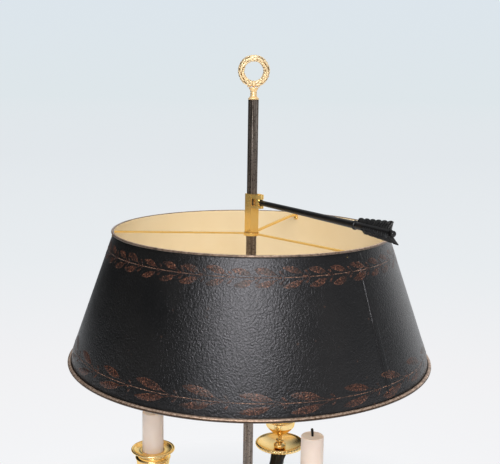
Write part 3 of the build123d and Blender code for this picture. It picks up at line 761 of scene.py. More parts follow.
@dataclass
class Base:
    """The dished base with its border, felt and hidden weight."""

    foot_radius: float = 116.0
    foot_band: float = 5.0
    foot_width: float = 4.0
    wall_radius: float = 109.0
    wall_thickness: float = 3.5
    floor_bend: float = 5.5
    plinth_radius: float = 44.0
    plinth_slope: float = 4.0
    bore: float = 3.6
    drop: float = 8.0
    floor_thickness: float = 3.5
    flare: float = 11.0
    gadroons: int = 72
    gadroon_depth: float = 0.9
    gadroon_inset: float = 1.0

    def build(self, nodes: Nodes) -> None:
        """Makes the base's pieces.

        Args:
            nodes: The CAD nodes by name.
        """
        self.dish()
        self.border()
        finish_node(nodes["base_felt"], FELT)
        finish_node(nodes["base_weight"], IRON)
        for name in ("base_weight_screws", "stem_washer", "stem_nut"):
            finish_node(nodes[name], STEEL)

    def dish(self) -> None:
        """The tray: foot band, cove, wall, floor and plinth, with turned fillets."""
        low, plinth = ends_of("base_dish")
        lip = high_of("base_border") - 4.0
        floor = lip - self.drop
        cove = low + 2 * self.foot_band
        inner = self.wall_radius - self.wall_thickness
        outline = (
            (self.foot_radius - 0.6, low), (self.foot_radius, low + 0.6, -0.4),
            (self.foot_radius, low + self.foot_band - 0.8),
            (self.foot_radius - 0.8, low + self.foot_band, -0.4), (self.wall_radius, cove, 0.3),
            (self.wall_radius, lip - 0.6), (self.wall_radius - 0.6, lip, -0.4), (inner + 0.6, lip),
            (inner, lip - 0.6, -0.4), (inner - self.floor_bend, floor, 0.35),
            (self.plinth_radius + 1.5, floor), (self.plinth_radius, floor + 0.8, 0.35),
            (self.plinth_radius - self.plinth_slope, plinth, -0.2), (self.bore, plinth),
            (self.bore, floor - self.floor_thickness), (inner, floor - self.floor_thickness),
            (self.foot_radius - self.foot_width, low + self.foot_band),
            (self.foot_radius - self.foot_width, low),
        )
        bm = lathe(outline, 144, closed=True)
        piece("tray", bm, GILT, Body.STAND, Slot.GILT, ["base_dish"])

    def border(self) -> None:
        """The flared border, chased with gadroons that lean outwards."""
        low, top = ends_of("base_border")
        wall, lip = self.wall_radius, self.wall_radius + self.flare - self.gadroon_inset
        outline = (
            (wall, low), (wall + 3.0, low), (wall + 8.0, low + 6.4, 0.25), (lip, top - 2.6, 0.1),
            (lip - 0.2, top - 1.2, -0.4), (lip - 1.2, top, -0.3), (lip - 3.2, top), (wall, top - 4.0, 0.15),
        )
        bm = lathe(outline, self.gadroons * 6, closed=True, steps=5)
        for vert in bm.verts:
            flat = math.hypot(vert.co.x, vert.co.y)
            share = max(0.0, (flat - wall - 2.0) / self.flare) * (vert.co.z < top - 0.5)
            turn = math.atan2(vert.co.y, vert.co.x)
            swell = abs(math.sin(turn * self.gadroons / 2)) * self.gadroon_depth * min(1.0, 2 * share)
            vert.co.xy *= (flat + swell) / flat
        piece("tray_border", bm, CHASED, Body.STAND, Slot.GILT, ["base_border"])


@dataclass
class Column:
    """The turned column, its hub, the cap and the square stem."""

    bore: float = 3.6
    foot_radius: float = 34.0
    waist_radius: float = 13.5
    ring_radius: float = 15.0
    foot_leaves: int = 12
    shaft_ring: float = 15.5
    shaft_low: float = 12.5
    shaft_high: float = 9.5
    flutes: int = 12
    flute_depth: float = 0.9
    flute_ease: float = 6.0
    shaft_slices: int = 14
    leaf_swell: float = 1.4
    leaf_lift: float = 0.5
    hub_end: float = 13.5
    cap_radius: float = 18.0
    cap_neck: float = 8.5
    cap_lip: float = 10.0
    stem_side: float = 8.0
    stem_edge: float = 0.35
    rod_radius: float = 3.0

    def build(self, nodes: Nodes) -> None:
        """Makes the column's pieces.

        Args:
            nodes: The CAD nodes by name.
        """
        self.foot()
        self.shaft()
        self.cap()
        self.stem()
        hub = softened(nodes["arm_hub"], 0.5)
        piece("arm_hub_chased", hub, GILT, Body.STAND, Slot.GILT, ["arm_hub"], FACETED)
        finish_node(nodes["arm_screws"], STEEL)

    def foot(self) -> None:
        """The spreading foot, ringed by a band of leaves that lie on its sweep."""
        low, high = ends_of("column_foot")
        outline = (
            (self.bore, low), (self.foot_radius - 0.6, low), (self.foot_radius, low + 0.6, -0.4),
            (self.foot_radius, low + 2.9), (self.foot_radius - 0.6, low + 3.5, -0.4),
            (self.foot_radius - 3.0, low + 3.5), (self.waist_radius, high - 6.0, 0.42),
            (self.ring_radius, high - 4.0), (self.ring_radius, high - 0.01, -0.5), (self.bore, high),
        )
        bm = lathe(outline, 144, closed=True, steps=14)
        for vert in bm.verts:
            flat = math.hypot(vert.co.x, vert.co.y)
            if flat < self.waist_radius + 0.5 or vert.co.z < low + 3.6 or vert.co.z > high - 8.0:
                continue
            share = (self.foot_radius - 3.0 - flat) / (self.foot_radius - 3.0 - self.waist_radius)
            turn = math.atan2(vert.co.y, vert.co.x)
            along = math.sin(math.pi * min(1.0, max(0.0, share)))
            swell = abs(math.sin(turn * self.foot_leaves)) * self.leaf_swell * along
            vert.co.xy *= (flat + swell) / flat
            vert.co.z += swell * self.leaf_lift
        piece("column_foot_leaves", bm, CHASED, Body.STAND, Slot.GILT, ["column_foot"])

    def shaft(self) -> None:
        """The fluted shaft between its rings."""
        low, high = ends_of("column_shaft")
        outline = (
            (self.bore, low), (self.shaft_ring, low), (self.shaft_ring, low + 4.0, -0.6),
            (self.shaft_low, low + 6.0, 0.4), (self.shaft_low, low + 7.5), (self.shaft_high, high - 8.0),
            (self.shaft_high, high - 6.0), (self.hub_end, high - 2.5, 0.3), (self.hub_end, high, -0.5),
            (self.bore, high),
        )
        bm = lathe(outline, self.flutes * 12, closed=True, steps=8)
        # Cuts across the plain stretch give the flutes' ends their curve.
        foot, head = low + 7.5, high - 8.0
        for step in range(1, self.shaft_slices):
            level = foot + (head - foot) * step / self.shaft_slices
            bmesh.ops.bisect_plane(
                bm, geom=bm.verts[:] + bm.edges[:] + bm.faces[:], plane_co=(0, 0, level), plane_no=(0, 0, 1)
            )
        for vert in bm.verts:
            flat = math.hypot(vert.co.x, vert.co.y)
            share = (vert.co.z - foot - 0.5) / (head - foot - 1.0)
            if flat < self.bore + 1.0 or not 0 < share < 1:
                continue
            ease = min(1.0, self.flute_ease * min(share, 1 - share))
            turn = math.atan2(vert.co.y, vert.co.x)
            cut = abs(math.sin(turn * self.flutes / 2)) * self.flute_depth * ease
            vert.co.xy *= (flat - cut) / flat
        piece("column_shaft_fluted", bm, GILT, Body.STAND, Slot.GILT, ["column_shaft"])

    def cap(self) -> None:
        """The cap over the hub, with rolled edges."""
        low, high = ends_of("hub_cap")
        half = self.stem_side / 2
        outline = (
            (half, low), (self.hub_end, low), (self.cap_radius, low + 2.5, -0.2),
            (self.cap_radius, low + 6.0, -0.5), (11.5, low + 10.0, 0.35), (self.cap_neck, high - 6.5, 0.15),
            (self.cap_lip, high - 3.5, 0.3), (self.cap_lip, high - 0.3, -0.4),
            (self.cap_lip - 0.5, high, -0.3), (half, high),
        )
        piece("hub_cap_turned", lathe(outline, 96, closed=True), GILT, Body.STAND, Slot.GILT, ["hub_cap"])

    def stem(self) -> None:
        """The square bar with its corners eased, and the tie rod below it."""
        low, high = high_of("hub_cap") - 13.0, high_of("stem")
        bm = bmesh.new()
        size = Matrix.Diagonal((self.stem_side, self.stem_side, high - low, 1))
        bmesh.ops.create_cube(bm, size=1.0, matrix=Matrix.Translation((0, 0, (low + high) / 2)) @ size)
        ease_edges(bm, bm.edges[:], self.stem_edge, 3)
        foot, end = low_of("stem"), low + 0.5
        rod = {"radius1": self.rod_radius, "radius2": self.rod_radius, "depth": end - foot}
        place = Matrix.Translation((0, 0, (foot + end) / 2))
        bmesh.ops.create_cone(bm, cap_ends=True, segments=32, matrix=place, **rod)
        piece("square_stem", bm, STEEL, Body.STAND, Slot.STEEL, ["stem"], FACETED)


# ------------------------------------------------------------------ arms and candle fittings


@dataclass
class Arms:
    """The three black arms: a horn-shaped scroll, a collar and a leafy top under each pan."""

    seat: float = 19.0
    root_level: float = 118.0
    pad_radius: float = 7.6
    pad_thickness: float = 2.5
    root_radius: float = 5.6
    waist_radius: float = 5.0
    waist_share: float = 0.35
    top_radius: float = 7.2
    dip: Point = (38.0, -38.0)
    lean: Point = (-19.0, -42.0)
    stations: int = 40
    collar_share: float = 0.62
    collar_width: float = 0.012
    collar_height: float = 1.5
    leaves: int = 8
    leaf_length: float = 19.0
    leaf_width: float = 7.4
    leaf_tip_radius: float = 9.4
    leaf_lobes: int = 4
    leaf_sink: float = 0.9

    def build(self) -> None:
        """Makes the three arms."""
        for side, angle in zip(SIDES, ARM_ANGLES):
            bm = move(self.arm(), about_z(angle))
            piece(f"arm_{side}", bm, BLACK, Body.STAND, Slot.BLACK, [f"candle_arm_{side}"])

    def centre_line(self, share: float, tip: Vector) -> Vector:
        """A point of the arm's curve.

        Args:
            share: From 0 at the root to 1 at the tip.
            tip: The curve's end under the pan.

        Returns:
            The point, in the XZ plane.
        """
        root = Vector((self.seat + self.pad_thickness, 0, self.root_level))
        handles = (
            root, root + Vector((self.dip[0], 0, self.dip[1])),
            tip + Vector((self.lean[0], 0, self.lean[1])), tip,
        )
        weights = ((1 - share) ** 3, 3 * share * (1 - share) ** 2, 3 * share**2 * (1 - share), share**3)
        return sum((handle * weight for handle, weight in zip(handles, weights)), Vector())

    def arm(self) -> BMesh:
        """One arm on the +X side.

        Returns:
            The arm's mesh.
        """
        pan_low = low_of("drip_pans")
        tip = Vector((CANDLE_CIRCLE, 0, pan_low - 3.0))
        path, radii = [], []
        for k in range(self.stations + 1):
            share = k / self.stations
            path.append(self.centre_line(share, tip))
            if share < self.waist_share:
                radius = self.root_radius + (self.waist_radius - self.root_radius) * share / self.waist_share
            else:
                beyond = (share - self.waist_share) / (1 - self.waist_share)
                radius = self.waist_radius + (self.top_radius - self.waist_radius) * beyond
            away = (share - self.collar_share) / self.collar_width
            radii.append(radius + self.collar_height * math.exp(-(away**2)))
        path.append(tip + Vector((0, 0, 3.0)))
        radii.append(self.top_radius - 0.6)
        bm = tube(path, radii)
        place = Matrix.Translation((self.seat + self.pad_thickness / 2, 0, self.root_level))
        pad = {"radius1": self.pad_radius, "radius2": self.pad_radius - 0.6, "depth": self.pad_thickness}
        upright = Matrix.Rotation(math.pi / 2, 4, "Y")
        bmesh.ops.create_cone(bm, cap_ends=True, segments=40, matrix=place @ upright, **pad)
        for k in range(self.leaves):
            self.leaf(bm, about_z(TURN * k / self.leaves), pan_low)
        return closed_up(bm)

    def leaf(self, bm: BMesh, turn: Matrix, top: float) -> None:
        """Adds one acanthus leaf of the top, growing up the arm and curling out under the pan.

        Args:
            bm: The mesh to add to.
            turn: The leaf's turn about the arm's top.
            top: The level of the pan's underside.
        """

        def shape(along: float, across: float, side: int) -> Vector:
            """Places a point of the leaf."""
            level = top - self.leaf_length * (1 - along) - 0.4
            share = max(0.0, min(1.0, 1 - (top - level) / 60))
            core = self.centre_line(share, Vector((CANDLE_CIRCLE, 0, top - 3.0)))
            lobe = 0.9 + 0.4 * abs(math.sin(along * self.leaf_lobes * math.pi))
            width = self.leaf_width * (0.35 + 0.65 * math.sin(math.pi * min(1.0, along * 0.8 + 0.15))) * lobe
            width *= 1 - max(0.0, along - 0.75) * 2.4
            foot = self.top_radius - self.leaf_sink
            # The leaf's faces lie to both sides of its sheet, and its midrib is raised.
            out = foot + (self.leaf_tip_radius - foot) * along**2.5
            out += self.leaf_sink * side + 0.6 * math.cos((across - 0.5) * math.pi)
            flat = turn @ around(out, (across - 0.5) * width / max(out, 1.0), 0)
            return Vector((core.x + flat.x, core.y + flat.y, level))

        lens(bm, 12, 6, shape)


@dataclass
class CandleFittings:
    """The pans, knops, sockets and nozzles on the arms."""

    pan_radius: float = 30.5
    pan_floor: float = 9.0
    gadroons: int = 44
    gadroon_swell: float = 1.0
    gadroon_slant: float = 0.02
    socket_body: float = 17.2
    socket_shoulder: float = 18.8
    socket_mouth: float = 16.4
    rim_radius: float = 24.0
    tube_radius: float = 13.1
    tube_bore: float = 11.6
    knop_radius: float = 8.0
    knop_sides: int = 8
    knop_edge: float = 0.35

    def build(self) -> None:
        """Makes the fittings, three of each."""
        self.pans()
        self.knops()
        self.sockets()
        self.nozzles()

    @staticmethod
    def trio(name: str, bm: BMesh, node: str) -> None:
        """Makes a gilt piece of a mesh repeated on the arms."""
        piece(name, on_arms(bm), GILT, Body.STAND, Slot.GILT, [node])

    def pans(self) -> None:
        """The wax pans: a smooth funnel with a band of slanted gadroons round the rim."""
        low, rim = ends_of("drip_pans")
        outer = self.pan_radius - 0.5
        outline = (
            (2.5, low), (self.pan_floor - 1, low), (self.pan_floor, low + 0.5, -0.3),
            (outer - 2.4, rim - 5.0, -0.12), (outer - 1.0, rim - 4.6, 0.3), (outer, rim - 2.4, -0.35),
            (outer - 0.8, rim - 0.3, -0.3), (outer - 1.8, rim - 0.3, -0.6), (outer - 3.0, rim - 2.4, 0.2),
            (self.pan_floor + 1, low + 2.2, 0.12), (2.5, low + 2.0),
        )
        bm = lathe(outline, self.gadroons * 6, closed=True, steps=5)
        for vert in bm.verts:
            flat = math.hypot(vert.co.x, vert.co.y)
            share = max(0.0, 1 - abs(vert.co.z - (rim - 2.4)) / 2.8) * (flat > outer - 1.9)
            turn = math.atan2(vert.co.y, vert.co.x) + (vert.co.z - rim) * self.gadroon_slant
            swell = (abs(math.sin(turn * self.gadroons / 2)) - 0.5) * self.gadroon_swell * share
            vert.co.xy *= (flat + swell) / flat
        self.trio("wax_pans", bm, "drip_pans")

    def knops(self) -> None:
        """The facetted knops, each with its ball and neck."""
        low, high = high_of("drip_pans") - 9.1, low_of("candle_sockets")
        levels = ((5.0, 0.0), (6.2, 0.8), (self.knop_radius, 3.0), (self.knop_radius, 5.1), (3.8, 8.5))
        rings = ((Matrix.Translation((0, 0, low + rise)), radius) for radius, rise in levels)
        bm = lofted(rings, self.knop_sides)
        ease_edges(bm, bm.edges[:], self.knop_edge)
        ball = (
            (0, low + 7.5), (2.6, low + 7.5), (2.6, low + 8.7), (3.1, low + 9.0, -0.4),
            (3.1, low + 13.0, -0.95), (2.6, low + 13.6, 0.4), (2.6, high - 1.6), (3.6, high, 0.4), (0, high),
        )
        spare = meshed("ball", lathe(ball, 48))
        bm.from_mesh(spare)
        bpy.data.meshes.remove(spare)
        self.trio("knops", bm, "nozzle_knops")

    def sockets(self) -> None:
        """The urn-shaped sockets, with a bead under the shoulder and a groove at the neck."""
        low, mouth = ends_of("candle_sockets")
        seat = low + 9.0
        shoulder = mouth - 5.0
        outline = (
            (0, low), (4.0, low), (4.4, low + 0.4, -0.3), (self.socket_body, low + 12.0, -0.1),
            (self.socket_shoulder - 0.6, shoulder - 1.6, -0.06), (self.socket_shoulder, shoulder - 0.8),
            (self.socket_shoulder, shoulder + 0.9, -0.6), (self.socket_mouth + 0.2, mouth - 2.0, -0.15),
            (self.socket_mouth, mouth - 1.4, 0.5), (self.socket_mouth, mouth, -0.5),
            (self.tube_radius, mouth), (self.tube_radius, seat), (0, seat),
        )
        bm = lathe(outline, 96, steps=10)
        self.trio("sockets", bm, "candle_sockets")

    def nozzles(self) -> None:
        """The loose nozzles: a dished rim with a rolled lip, on a tube."""
        mouth, rim = high_of("candle_sockets"), high_of("candle_nozzles")
        outer = self.rim_radius
        outline = (
            (self.tube_bore, mouth - 12.0), (self.tube_radius, mouth - 12.0), (self.tube_radius, mouth),
            (16.0, mouth), (16.0, mouth + 1.2), (outer - 2.2, rim - 2.4, 0.25), (outer - 1.2, rim - 2.2),
            (outer - 1.2, rim, -0.95), (outer - 2.6, rim - 0.7, 0.3), (outer - 3.4, rim - 0.5, -0.3),
            (self.tube_radius + 2.0, rim - 2.6, 0.15), (self.tube_bore + 0.3, rim - 2.4, -0.2),
            (self.tube_bore, rim - 2.8, -0.3),
        )
        bm = lathe(outline, 96, closed=True, steps=9)
        self.trio("nozzles", bm, "candle_nozzles")


@dataclass
class Candles:
    """The wax candles and their burnt wicks."""

    radius: float = 11.5
    wick_radius: float = 1.35
    wick_bend: float = -1.2
    wick_sink: float = 0.8
    wick_stations: int = 10

    def build(self) -> None:
        """Makes each candle and its wick."""
        for side, angle in zip(SIDES, ARM_ANGLES):
            place = Matrix.Translation(around(CANDLE_CIRCLE, angle, 0)) @ about_z(angle)
            piece(
                f"wax_{side}", move(self.candle(side), place), WAX, Body.STAND, Slot.WAX, [f"candle_{side}"],
            )
            piece(
                f"burnt_wick_{side}", move(self.wick(side), place), CHAR, Body.STAND, Slot.WICK,
                [f"wick_{side}"],
            )

    def candle(self, side: str) -> BMesh:
        """A candle whose top has melted to a shallow dish with a round edge.

        Args:
            side: The arm that it stands on.

        Returns:
            The candle's mesh, about the Z axis.
        """
        low, top = ends_of(f"candle_{side}")
        outline = (
            (0, low), (self.radius, low), (self.radius, top - 1.3), (self.radius - 1.3, top, -0.41),
            (self.radius - 2.6, top - 0.15), (3.4, top - 0.9, 0.1), (1.6, top - 0.7, 0.1), (0, top - 0.4),
        )
        return lathe(outline, 72)

    def wick(self, side: str) -> BMesh:
        """A wick that leans as it rises, thicker at its charred tip.

        Args:
            side: The arm that its candle stands on.

        Returns:
            The wick's mesh, about the Z axis.
        """
        low, high = ends_of(f"wick_{side}")
        path, radii = [], []
        for k in range(self.wick_stations):
            share = k / (self.wick_stations - 1)
            level = low - self.wick_sink + (high - low + self.wick_sink / 2) * share
            path.append(Vector((self.wick_bend * share**2, 0, level)))
            radii.append(self.wick_radius * (0.85 + 0.25 * share - 0.5 * max(0.0, share - 0.85) * 4))
        return tube(path, radii, 12)


# ------------------------------------------------------------------ shade


@dataclass(frozen=True)
class Leaf:
    """The sizes of one painted leaf, and its lean from the band in radians."""

    blade: float
    width: float
    stalk: float
    spread: float


@dataclass(frozen=True)
class Garland:
    """The sizes of a painted laurel band, with the lean of its upper and lower leaves in degrees."""

    name: str
    middle: float
    pairs: int
    blade: float
    width: float
    stalk: float
    spread: tuple[float, float]
    seed: int
    wave: float
    waves: int = 2
    crest: float = 165.0
    sprig: tuple[float, float, float] = (5.5, 2.6, 2.5)
    sprig_leans: tuple[float, ...] = (-46, 0, 46)
    sprig_ahead: float = 0.13

    def level(self, turn: float) -> float:
        """The level of the band's waving stalk at an angle about the stem."""
        return self.middle + self.wave * math.cos(self.waves * (turn - math.radians(self.crest)))


@dataclass
class Shade:
    """The painted tole shade with its seam, edge wires and two painted laurel bands."""

    rim_radius: float = 148.0
    low_radius: float = 195.0
    inset_top: float = 2.5
    inset_low: float = 3.7
    steep_height: float = 9.0
    steep_width: float = 1.9
    thickness: float = 0.8
    top_wire: float = 1.5
    bottom_wire: float = 2.2
    bottom_wire_play: float = 0.06
    # Above these shares of its radius a wire is worn bare, and lighter as a painted highlight.
    top_bare_and_lit: float = 0.6
    bottom_bare_and_lit: float = 0.42
    bare_inside: float = -0.5
    cream_out: float = 0.2
    cream_up: float = 0.35
    # Below this share a wire's faces are black: paint, and a painted shadow under the wire.
    paint_and_shadow_below: float = -0.45
    wire_sides: int = 16
    seam_angle: float = -85.5
    seam_width: float = 9.0
    seam_thickness: float = 0.6
    segments: int = 288
    paint: float = 0.12
    sink: float = 0.1
    stroke: float = 0.35
    stalk_half: float = 0.45

    def build(self) -> None:
        """Makes the shade's pieces."""
        self.rim = high_of("shade_top_wire")
        self.low = low_of("shade_bottom_wire")
        self.top = self.rim - self.top_wire
        self.foot = self.low + self.bottom_wire
        self.bend = self.low + 2 * self.bottom_wire + self.steep_height
        self.top_radius = self.rim_radius - self.inset_top
        self.foot_radius = self.low_radius - self.inset_low
        self.bend_radius = self.foot_radius - self.steep_width
        self.lean = math.atan2(self.bend_radius - self.top_radius, self.top - self.bend)
        self.sheet()
        self.wires()
        low_band = Garland(
            "laurel_band_low", middle=self.low + 17.3, pairs=24, blade=31.0, width=9.0, stalk=10.0,
            spread=(14.0, 12.0), seed=11, wave=1.6,
        )
        high_band = Garland(
            "laurel_band_high", middle=self.rim - 19.0, pairs=40, blade=19.0, width=7.6, stalk=6.0,
            spread=(19.0, 20.0), seed=23, wave=0.6,
        )
        self.garland(low_band)
        self.garland(high_band)

    def sheet_radius(self, level: float) -> float:
        """The sheet's outer radius at a level."""
        if level >= self.bend:
            share = (self.top - level) / (self.top - self.bend)
            return self.top_radius + (self.bend_radius - self.top_radius) * share
        share = (self.bend - level) / (self.bend - self.foot)
        return self.bend_radius + self.steep_width * share

    def sheet(self) -> None:
        """The sheet, steeper above its foot, black outside and cream inside, with the lap of its seam."""
        outline = (
            (self.top_radius, self.top), (self.bend_radius, self.bend), (self.foot_radius, self.foot),
            (self.foot_radius - self.thickness, self.foot), (self.bend_radius - self.thickness, self.bend),
            (self.top_radius - self.thickness, self.top),
        )
        bm = lathe(outline, self.segments, closed=True)
        for face in bm.faces:
            centre = face.calc_center_median()
            face.material_index = int(
                math.hypot(centre.x, centre.y) < self.sheet_radius(centre.z) - self.thickness / 2
            )
        self.lap(bm)
        piece("tole_shade", bm, (JAPAN, CREAM), Body.CARRIAGE, Slot.TOLE, ["shade_shell"])

    def lap(self, bm: BMesh) -> None:
        """Adds the seam's lap: a second thickness of sheet that ends in a thin edge.

        Args:
            bm: The mesh to add to.
        """
        start = math.radians(self.seam_angle)
        low, high = self.foot + self.bottom_wire, self.top - self.top_wire

        def shape(along: float, across: float, side: int) -> Vector:
            """Places a point of the lap."""
            level = low + (high - low) * along
            turn = start + across * self.seam_width / self.low_radius
            lift = self.seam_thickness if side > 0 else -2 * self.sink
            return around(self.sheet_radius(level) + lift, turn, level)

        before = set(bm.verts)
        lens(bm, 24, 8, shape)
        made = [vert for vert in bm.verts if vert not in before]
        bmesh.ops.remove_doubles(bm, verts=made, dist=GAP)
        bmesh.ops.recalc_face_normals(
            bm, faces=list({face for vert in made if vert.is_valid for face in vert.link_faces})
        )

    def wires(self) -> None:
        """Edge wires: rubbed copper and painted highlight on crests, painted shade and black below, cream
        inside.
        """
        flat = math.cos(math.pi / 6)
        low_reach = self.low_radius - self.bottom_wire_play
        # Name, reach, end level, radius towards the sheet, share of the radius above which it is bare and
        # lit, darker finish of its side with painted shade, place in the node's name.
        wires = (
            ("high", self.rim_radius, self.rim, -self.top_wire, self.top_bare_and_lit, SHADED_BROWNED_WIRE, "top"),
            ("low", low_reach, self.low, self.bottom_wire, self.bottom_bare_and_lit, SHADED_PAINTED_WIRE, "bottom"),
        )
        for name, reach, end, inwards, worn, side, place in wires:
            radius, middle = abs(inwards), end + inwards * flat
            bm = torus(reach - radius, middle, radius, flat, self.wire_sides, self.segments)
            for face in bm.faces:
                centre = face.calc_center_median()
                out = (math.hypot(centre.x, centre.y) - reach + radius) / radius
                up = (centre.z - middle) / radius
                # Up: worn copper and painted highlight. Lower: painted shade. Underside: black paint and
                # painted shadow.
                face.material_index = int(up < worn or out < self.bare_inside)
                if out < self.cream_out and up < self.cream_up:
                    face.material_index = 2
                elif up < self.paint_and_shadow_below:
                    face.material_index = 3
            piece(
                f"rim_wire_{name}", bm, (WIRE, side, CREAM, JAPAN), Body.CARRIAGE, Slot.WIRE,
                [f"shade_{place}_wire"],
            )

    def on_sheet(self, turn: float, level: float, lift: float) -> Vector:
        """A point on the sheet's outer face.

        Args:
            turn: Its angle about the stem.
            level: Its level.
            lift: How far it stands off the sheet, in millimetres.

        Returns:
            The point.
        """
        past = (turn - math.radians(self.seam_angle)) % TURN
        lap = self.seam_thickness if past < self.seam_width / self.bend_radius else 0.0
        return around(self.sheet_radius(level) + (lift + lap) / math.cos(self.lean), turn, level)

    def leaf(self, bm: BMesh, turn: float, level: float, leaf: Leaf) -> None:
        """Adds one painted leaf: a thin stalk that opens into a blade, curving back along the band.

        Args:
            bm: The mesh to add to.
            turn: The angle about the stem of the leaf's foot.
            level: The level of the leaf's foot.
            leaf: The leaf's sizes.
        """
        radius = self.sheet_radius(level)
        whole = leaf.stalk + leaf.blade

        def shape(along: float, across: float, side: int) -> Vector:
            """Places a point of the leaf."""
            share = (along * whole - leaf.stalk) / leaf.blade
            half = leaf.width / 2 * math.sin(math.pi * share**0.85) ** 0.8 if 0 < share < 1 else 0.0
            half = max(half, self.stroke * min(1.0, 8 * (1 - along)))
            # The leaf leaves the band's stalk steeply and ends almost level with it.
            tilt = leaf.spread * (1.6 - 1.4 * along)
            rise = leaf.spread * whole * (1.6 * along - 0.7 * along**2)
            aside = (2 * across - 1) * half
            back = whole * along * math.cos(leaf.spread) - aside * math.sin(tilt)
            up = rise + aside * math.cos(tilt)
            lift = self.paint if side > 0 else -self.sink
            return self.on_sheet(turn - back / radius, level + up * math.cos(self.lean), lift)

        lens(bm, 16, 4, shape)

    def garland(self, band: Garland) -> None:
        """A band of paired leaves on a waving stalk, with small sprigs between the pairs.

        Args:
            band: The band's sizes.
        """
        hand = random.Random(band.seed)
        bm = bmesh.new()
        bm.loops.layers.uv.new("leaf")
        for k in range(band.pairs):
            turn = TURN * (k + hand.uniform(-0.05, 0.05)) / band.pairs
            level = band.level(turn)
            for way, spread in zip((1, -1), band.spread):
                size = hand.uniform(0.9, 1.08)
                lean = way * math.radians(spread + hand.uniform(-3, 3))
                width = band.width * hand.uniform(0.88, 1.08)
                foot = turn + hand.uniform(-0.04, 0.04) * TURN / band.pairs
                self.leaf(bm, foot, level, Leaf(band.blade * size, width, band.stalk, lean))
            blade, width, stalk = band.sprig
            for spread in band.sprig_leans:
                lean = math.radians(spread + hand.uniform(-8, 8))
                foot = turn + band.sprig_ahead * TURN / band.pairs
                length = blade * hand.uniform(0.8, 1.1)
                self.leaf(bm, foot, band.level(foot), Leaf(length, width, stalk, lean))
        piece(band.name, closed_up(bm), LEAVES, Body.CARRIAGE, Slot.WIRE)
        self.stalk(band)

    def stalk(self, band: Garland) -> None:
        """The stalk that a band's leaves grow from, drawn in short strokes.

        Args:
            band: The band's sizes.
        """
        bm = bmesh.new()
        bm.loops.layers.uv.new("leaf")
        for k in range(band.pairs):

            def shape(along: float, across: float, side: int, k: int = k) -> Vector:
                """Places a point of the stalk's stretch."""
                turn = TURN * (k + along * 1.02) / band.pairs
                half = self.stalk_half * math.sin(math.pi * (0.2 + 0.6 * along))
                level = band.level(turn) + (2 * across - 1) * half
                return self.on_sheet(turn, level, 2 * self.paint if side > 0 else -self.sink)

            lens(bm, 8, 2, shape)
        piece(f"{band.name}_stalk", closed_up(bm), STALK, Body.CARRIAGE, Slot.WIRE)


# ------------------------------------------------------------------ sleeve, spider and arrow


@dataclass
class Carriage:
    """The brass sleeve with its fork and pin, and the spider's strips."""

    pivot_offset: float = 12.0
    pin_radius: float = 1.6
    pin_head: float = 2.6

    def build(self, nodes: Nodes) -> None:
        """Makes the carriage's brass pieces.

        Args:
            nodes: The CAD nodes by name.
        """
        parts = [("sleeve_brass", "sleeve", 0.35), ("spider_flange", "spider_hub", 0.3)]
        parts += [(f"strip_{side}", f"spider_strip_{side}", 0.3) for side in SIDES]
        for name, node, edge in parts:
            piece(name, softened(nodes[node], edge), BRASS, Body.CARRIAGE, Slot.BRASS, [node], FACETED)
        self.rivets(nodes["spider_rivets"])
        self.pin()

    def rivets(self, node: bpy.types.Object) -> None:
        """The strips' rivets, brass inside and painted over where their ends show outside.

        Args:
            node: The rivets' CAD node.
        """
        bm = softened(node, 0.15)
        reach = max(math.hypot(vert.co.x, vert.co.y) for vert in bm.verts)
        for face in bm.faces:
            centre = face.calc_center_median()
            face.material_index = int(math.hypot(centre.x, centre.y) > reach - 0.8)
        piece("strip_rivets", bm, (BRASS, JAPAN), Body.CARRIAGE, Slot.BRASS, ["spider_rivets"])

    def pin(self) -> None:
        """The fork's pin, its head slightly domed."""
        low, high = ends_of("pivot_pin")
        outline = (
            (0, low), (self.pin_radius - 0.2, low), (self.pin_radius, low + 0.2, -0.3),
            (self.pin_radius, high - 1.0), (self.pin_head, high - 1.0), (self.pin_head, high - 0.5),
            (0, high, -0.12),
        )
        bm = move(lathe(outline, 48), Matrix.Translation((0, -self.pivot_offset, 0)))
        piece("fork_pin", bm, BRASS, Body.CARRIAGE, Slot.BRASS, ["pivot_pin"])


